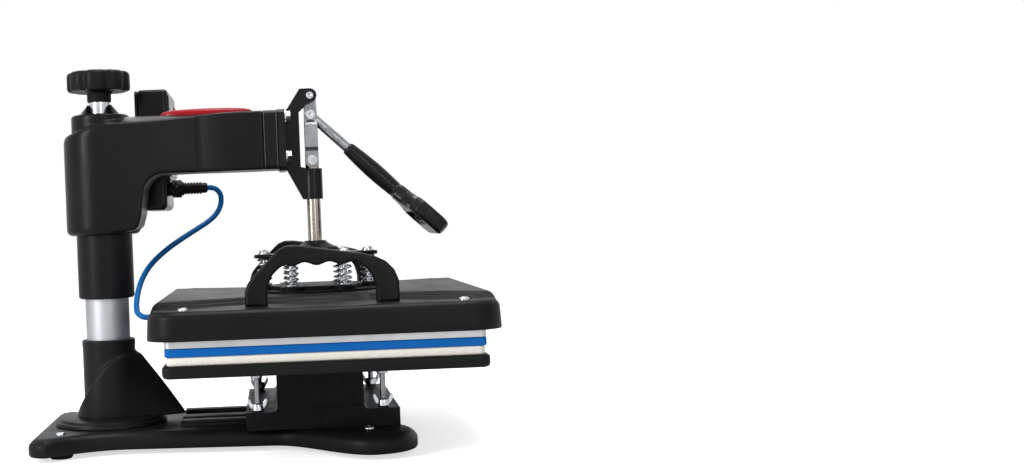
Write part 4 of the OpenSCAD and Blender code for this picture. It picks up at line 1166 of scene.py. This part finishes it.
def round_heads(name, places, profile):
    """One mesh of turned heads, a copy at each place."""
    return skins(name, [in_metres(lathe(place, profile, 36)) for place in places])


def pan_screws(name, places, base_z, r, h, shank_low, body, node, washer=0.0):
    """Cross-headed screws with domed heads, and washers where they have them."""
    shank, washer_t = r * 0.42, 1.0
    profile = [(shank, shank_low), (shank, base_z)]
    start = base_z
    if washer:
        start += washer_t
        profile += [(washer, base_z), (washer, start)]
    profile += above(start, [(r, 0), (r, h * 0.35), (r * 0.9, h * 0.66), (r * 0.62, h * 0.9), (r * 0.2, h)])
    obj = round_heads(name, places, profile)
    obj = cut(obj, *cross_cut(places, r * 0.24, r * 0.62, start + h, h * 0.42))
    dress(obj, body, "steel", node)


def screws():
    bolts_z = node_box("spring_bolts")[0].z
    plate_top = node_box("upper_spring_plate")[0].z + SPRING_PLATE_T
    pan_screws("spring_screws", spring_places(), plate_top, 5.6, 4.0, bolts_z, "platen", "spring_bolts", 7.0)
    low, high = node_box("cover_screws")
    head_r, sunk = 5.0, 2
    corners = rectangle(0, 0, high.x - head_r, high.y - head_r)
    pan_screws("corner_screws", corners, low.z, head_r, 3.0, low.z - sunk, "platen", "cover_screws")
    low, high = node_box("foot_screws")
    right = ((BASE_REAR_HALF - 33, BASE_BACK - 31), (LOBE_X, LOBE_Y))
    feet = [(side * x, y) for side in (-1, 1) for x, y in right]
    pan_screws("base_screws", feet, low.z, head_r, high.z - low.z, low.z - sunk, "base", "foot_screws")


# Platen

KNEE_MID_Y = 11
KNEE_REACH = 55
KNEES = ((85, 0.52, 11), (126, 0.5, 15))
WAVES = 3


def ridge_edges(y):
    """Where the cover's wavy band starts and ends, away from the middle, at that depth."""
    beyond = abs(y - KNEE_MID_Y) - KNEE_REACH
    bow = 1 - ((y - KNEE_MID_Y) / KNEE_REACH) ** 2
    return [knee + (slope * beyond if beyond > 0 else bulge * bow) for knee, slope, bulge in KNEES]


def cover_rise(x, y, half_y):
    """How far the cover's top stands above its wings: a crown, and waves that end short of the edge."""
    crown, ripple = 6.0, 1.5
    inner, outer = (sum(pair) / 3 for pair in zip(*(ridge_edges(y + d) for d in (-5, 0, 5))))
    t = (abs(x) - inner) / (outer - inner)
    inside = smooth_step((half_y - abs(y) - 8) / 20)
    rise = crown * (1 - smooth_step(t * (2.2 - 1.2 * inside)))
    if 0 < t < 1:
        fade = min(1.0, 6 * t, 6 * (1 - t))
        rise += ripple * inside * fade * cos(2 * pi * WAVES * t)
    return rise


def heat_cover():
    """The cover over the heated plate: a soft-edged shell with a raised crown and three waves each side."""
    low, high = node_box("heat_cover")
    half_x, half_y = high.x, high.y
    wing_z = node_box("left_grip")[0].z
    corner, edge, wall, lean = 30, 8, 2.6, 1.2
    side_steps, round_steps, least_corner = 150, 10, 0.05

    def ring(inset, z, rise=0.0):
        r = max(corner - inset, least_corner)
        outline = box_ring(half_x - inset, half_y - inset, r, round_steps, side_steps)
        return [(x, y, z + (rise * cover_rise(x, y, half_y) if rise else 0.0)) for x, y in outline]

    rings = [ring(wall, low.z + 8), ring(wall, low.z), ring(0.6, low.z), ring(0.0, low.z + 0.8)]
    wall_z = low.z + 1
    for share in (0.3, 0.7, 1.0):
        rings.append(ring(lean * share, wall_z + share * (wing_z - edge - wall_z)))
    for angle in range(10, 91, 10):
        turn = radians(angle)
        drop = edge * (1 - sin(turn))
        rings.append(ring(lean + edge * (1 - cos(turn)), wing_z - drop, sin(turn)))
    inset, step = lean + edge, 1.8
    while inset < half_y - 4:
        inset += step
        rings.append(ring(min(inset, half_y - 3), wing_z, 1.0))
    cover = join_rings("cover_shell", rings, cap_low=False, sharp_deg=60)
    dress(cover, "platen", "cover_paint", "heat_cover")


def side_grips():
    """The two lifting handles on the cover, with finger waves below and a screw pocket in the front leg."""
    outer = ([(75, 0), (75, 14), (72.5, 21), (68, 27), (46, 49), (40, 54.5), (32, 57.6), (22, 57.5)]
             + [(-40, 47.5), (-52, 44.5), (-63, 39), (-71, 30.5), (-75, 20), (-75, 0)])
    waves = [(y, 39 - 1.8 * cos(2 * pi * (y - 4) / 24)) for y in range(34, -38, -4)]
    inner = ([(-53, -1), (-53, 14), (-50, 25), (-44, 33)] + waves[::-1]
             + [(40, 36.5), (47, 30), (51.5, 21), (53, 12), (53, -1)])
    pocket = [(-5, 3), (5, 3), (5, 20), (3.5, 24), (0, 26), (-3.5, 24), (-5, 20)]
    foot_half, top_half, height, half_drawn, front = 13, 8.6, 58, 12, -75
    for name in ("left_grip", "right_grip"):
        mid_x, base = node_middle(name).x, node_box(name)[0].z

        def place(u, v, w):
            share = foot_half + (top_half - foot_half) * max(0.0, min(1.0, v / height))
            return at(mid_x + w * share / half_drawn, u, base + v)

        grip = plate(f"{name}_shape", [rounded(outer + inner, 1.5, 2)], 2 * half_drawn, 3.2, place)
        tool = plate("pocket_tool", [pocket], 26, 0.05, lambda u, v, w: at(mid_x + u, front + w, base + v))
        dress(cut(grip, tool), "platen", "black_plastic", name)
        head = above(base, [(4.0, 2.6), (4.0, 4), (3.2, 5.2), (1.0, 5.8)])
        dress(round_heads(f"{name}_screw", [(mid_x, front + 7)], head), "platen", "steel")


# Finishes of the machined pieces

EDGE_WIDTH = 0.5
EDGE_ANGLE_DEG = 40


def polish(name, finish):
    """Softens a machined piece's edges and gives it a finish."""
    obj = nodes[name]
    for slot in obj.material_slots:
        slot.material = FINISHES[finish]
    weld = obj.modifiers.new("weld", "WELD")
    weld.merge_threshold = WELD_M
    bevel = obj.modifiers.new("soft_edges", "BEVEL")
    bevel.width = EDGE_WIDTH * MM
    bevel.segments = 2
    bevel.limit_method = "ANGLE"
    bevel.angle_limit = radians(EDGE_ANGLE_DEG)
    bevel.use_clamp_overlap = True
    bevel.harden_normals = True
    normals = obj.modifiers.new("even_normals", "WEIGHTED_NORMAL")
    normals.keep_sharp = True


MACHINED = {
    "rubber": ("rubber_feet",),
    "chrome": ("column_tube",),
    "steel": ("bracket_bolts", "lever_pivot_pin", "link_pin", "link_bolt_heads",
              "height_screw"),
    "ram_steel": ("press_ram",),
    "lever_steel": ("toggle_link", "tray_studs"),
    "brass": ("tube_nut",),
    "gloss_handle": ("toggle_bracket",),
    "cast_grey": ("arm_end_block", "screw_boss", "column_sleeve"),
    # tray_pedestal takes this darker, duller black partly as its own deep black coat and partly as painted
    # shade under the tray.
    "steel_black": ("tray_pedestal", "box_bracket", "cover_ring", "lower_spring_plate"),
    "gloss_plastic": ("box_back", "switch_bezel", "control_panel"),
    "black_plastic": ("cable_socket", "cable_gland", "mains_inlet"),
    "display": ("display_windows",),
    "lamp": ("indicator_lamps",),
    "red_plastic": ("power_rocker",),
    "board": ("circuit_board",),
    "plate": ("heat_plate",),
    "insulation": ("insulation_board",),
}


def polish_machined():
    for finish, names in MACHINED.items():
        for name in names:
            polish(name, finish)


make_camera()
heater_lead()
make_stage()
base_plate()
column_socket()
pads_and_tray()
wing_nuts()
arm_casting()
arm_details()
height_knob()
control_box()
panel_details()
buttons()
lever_rod()
lever_handle()
pressure_springs()
upper_plate()
screws()
heat_cover()
side_grips()
polish_machined()
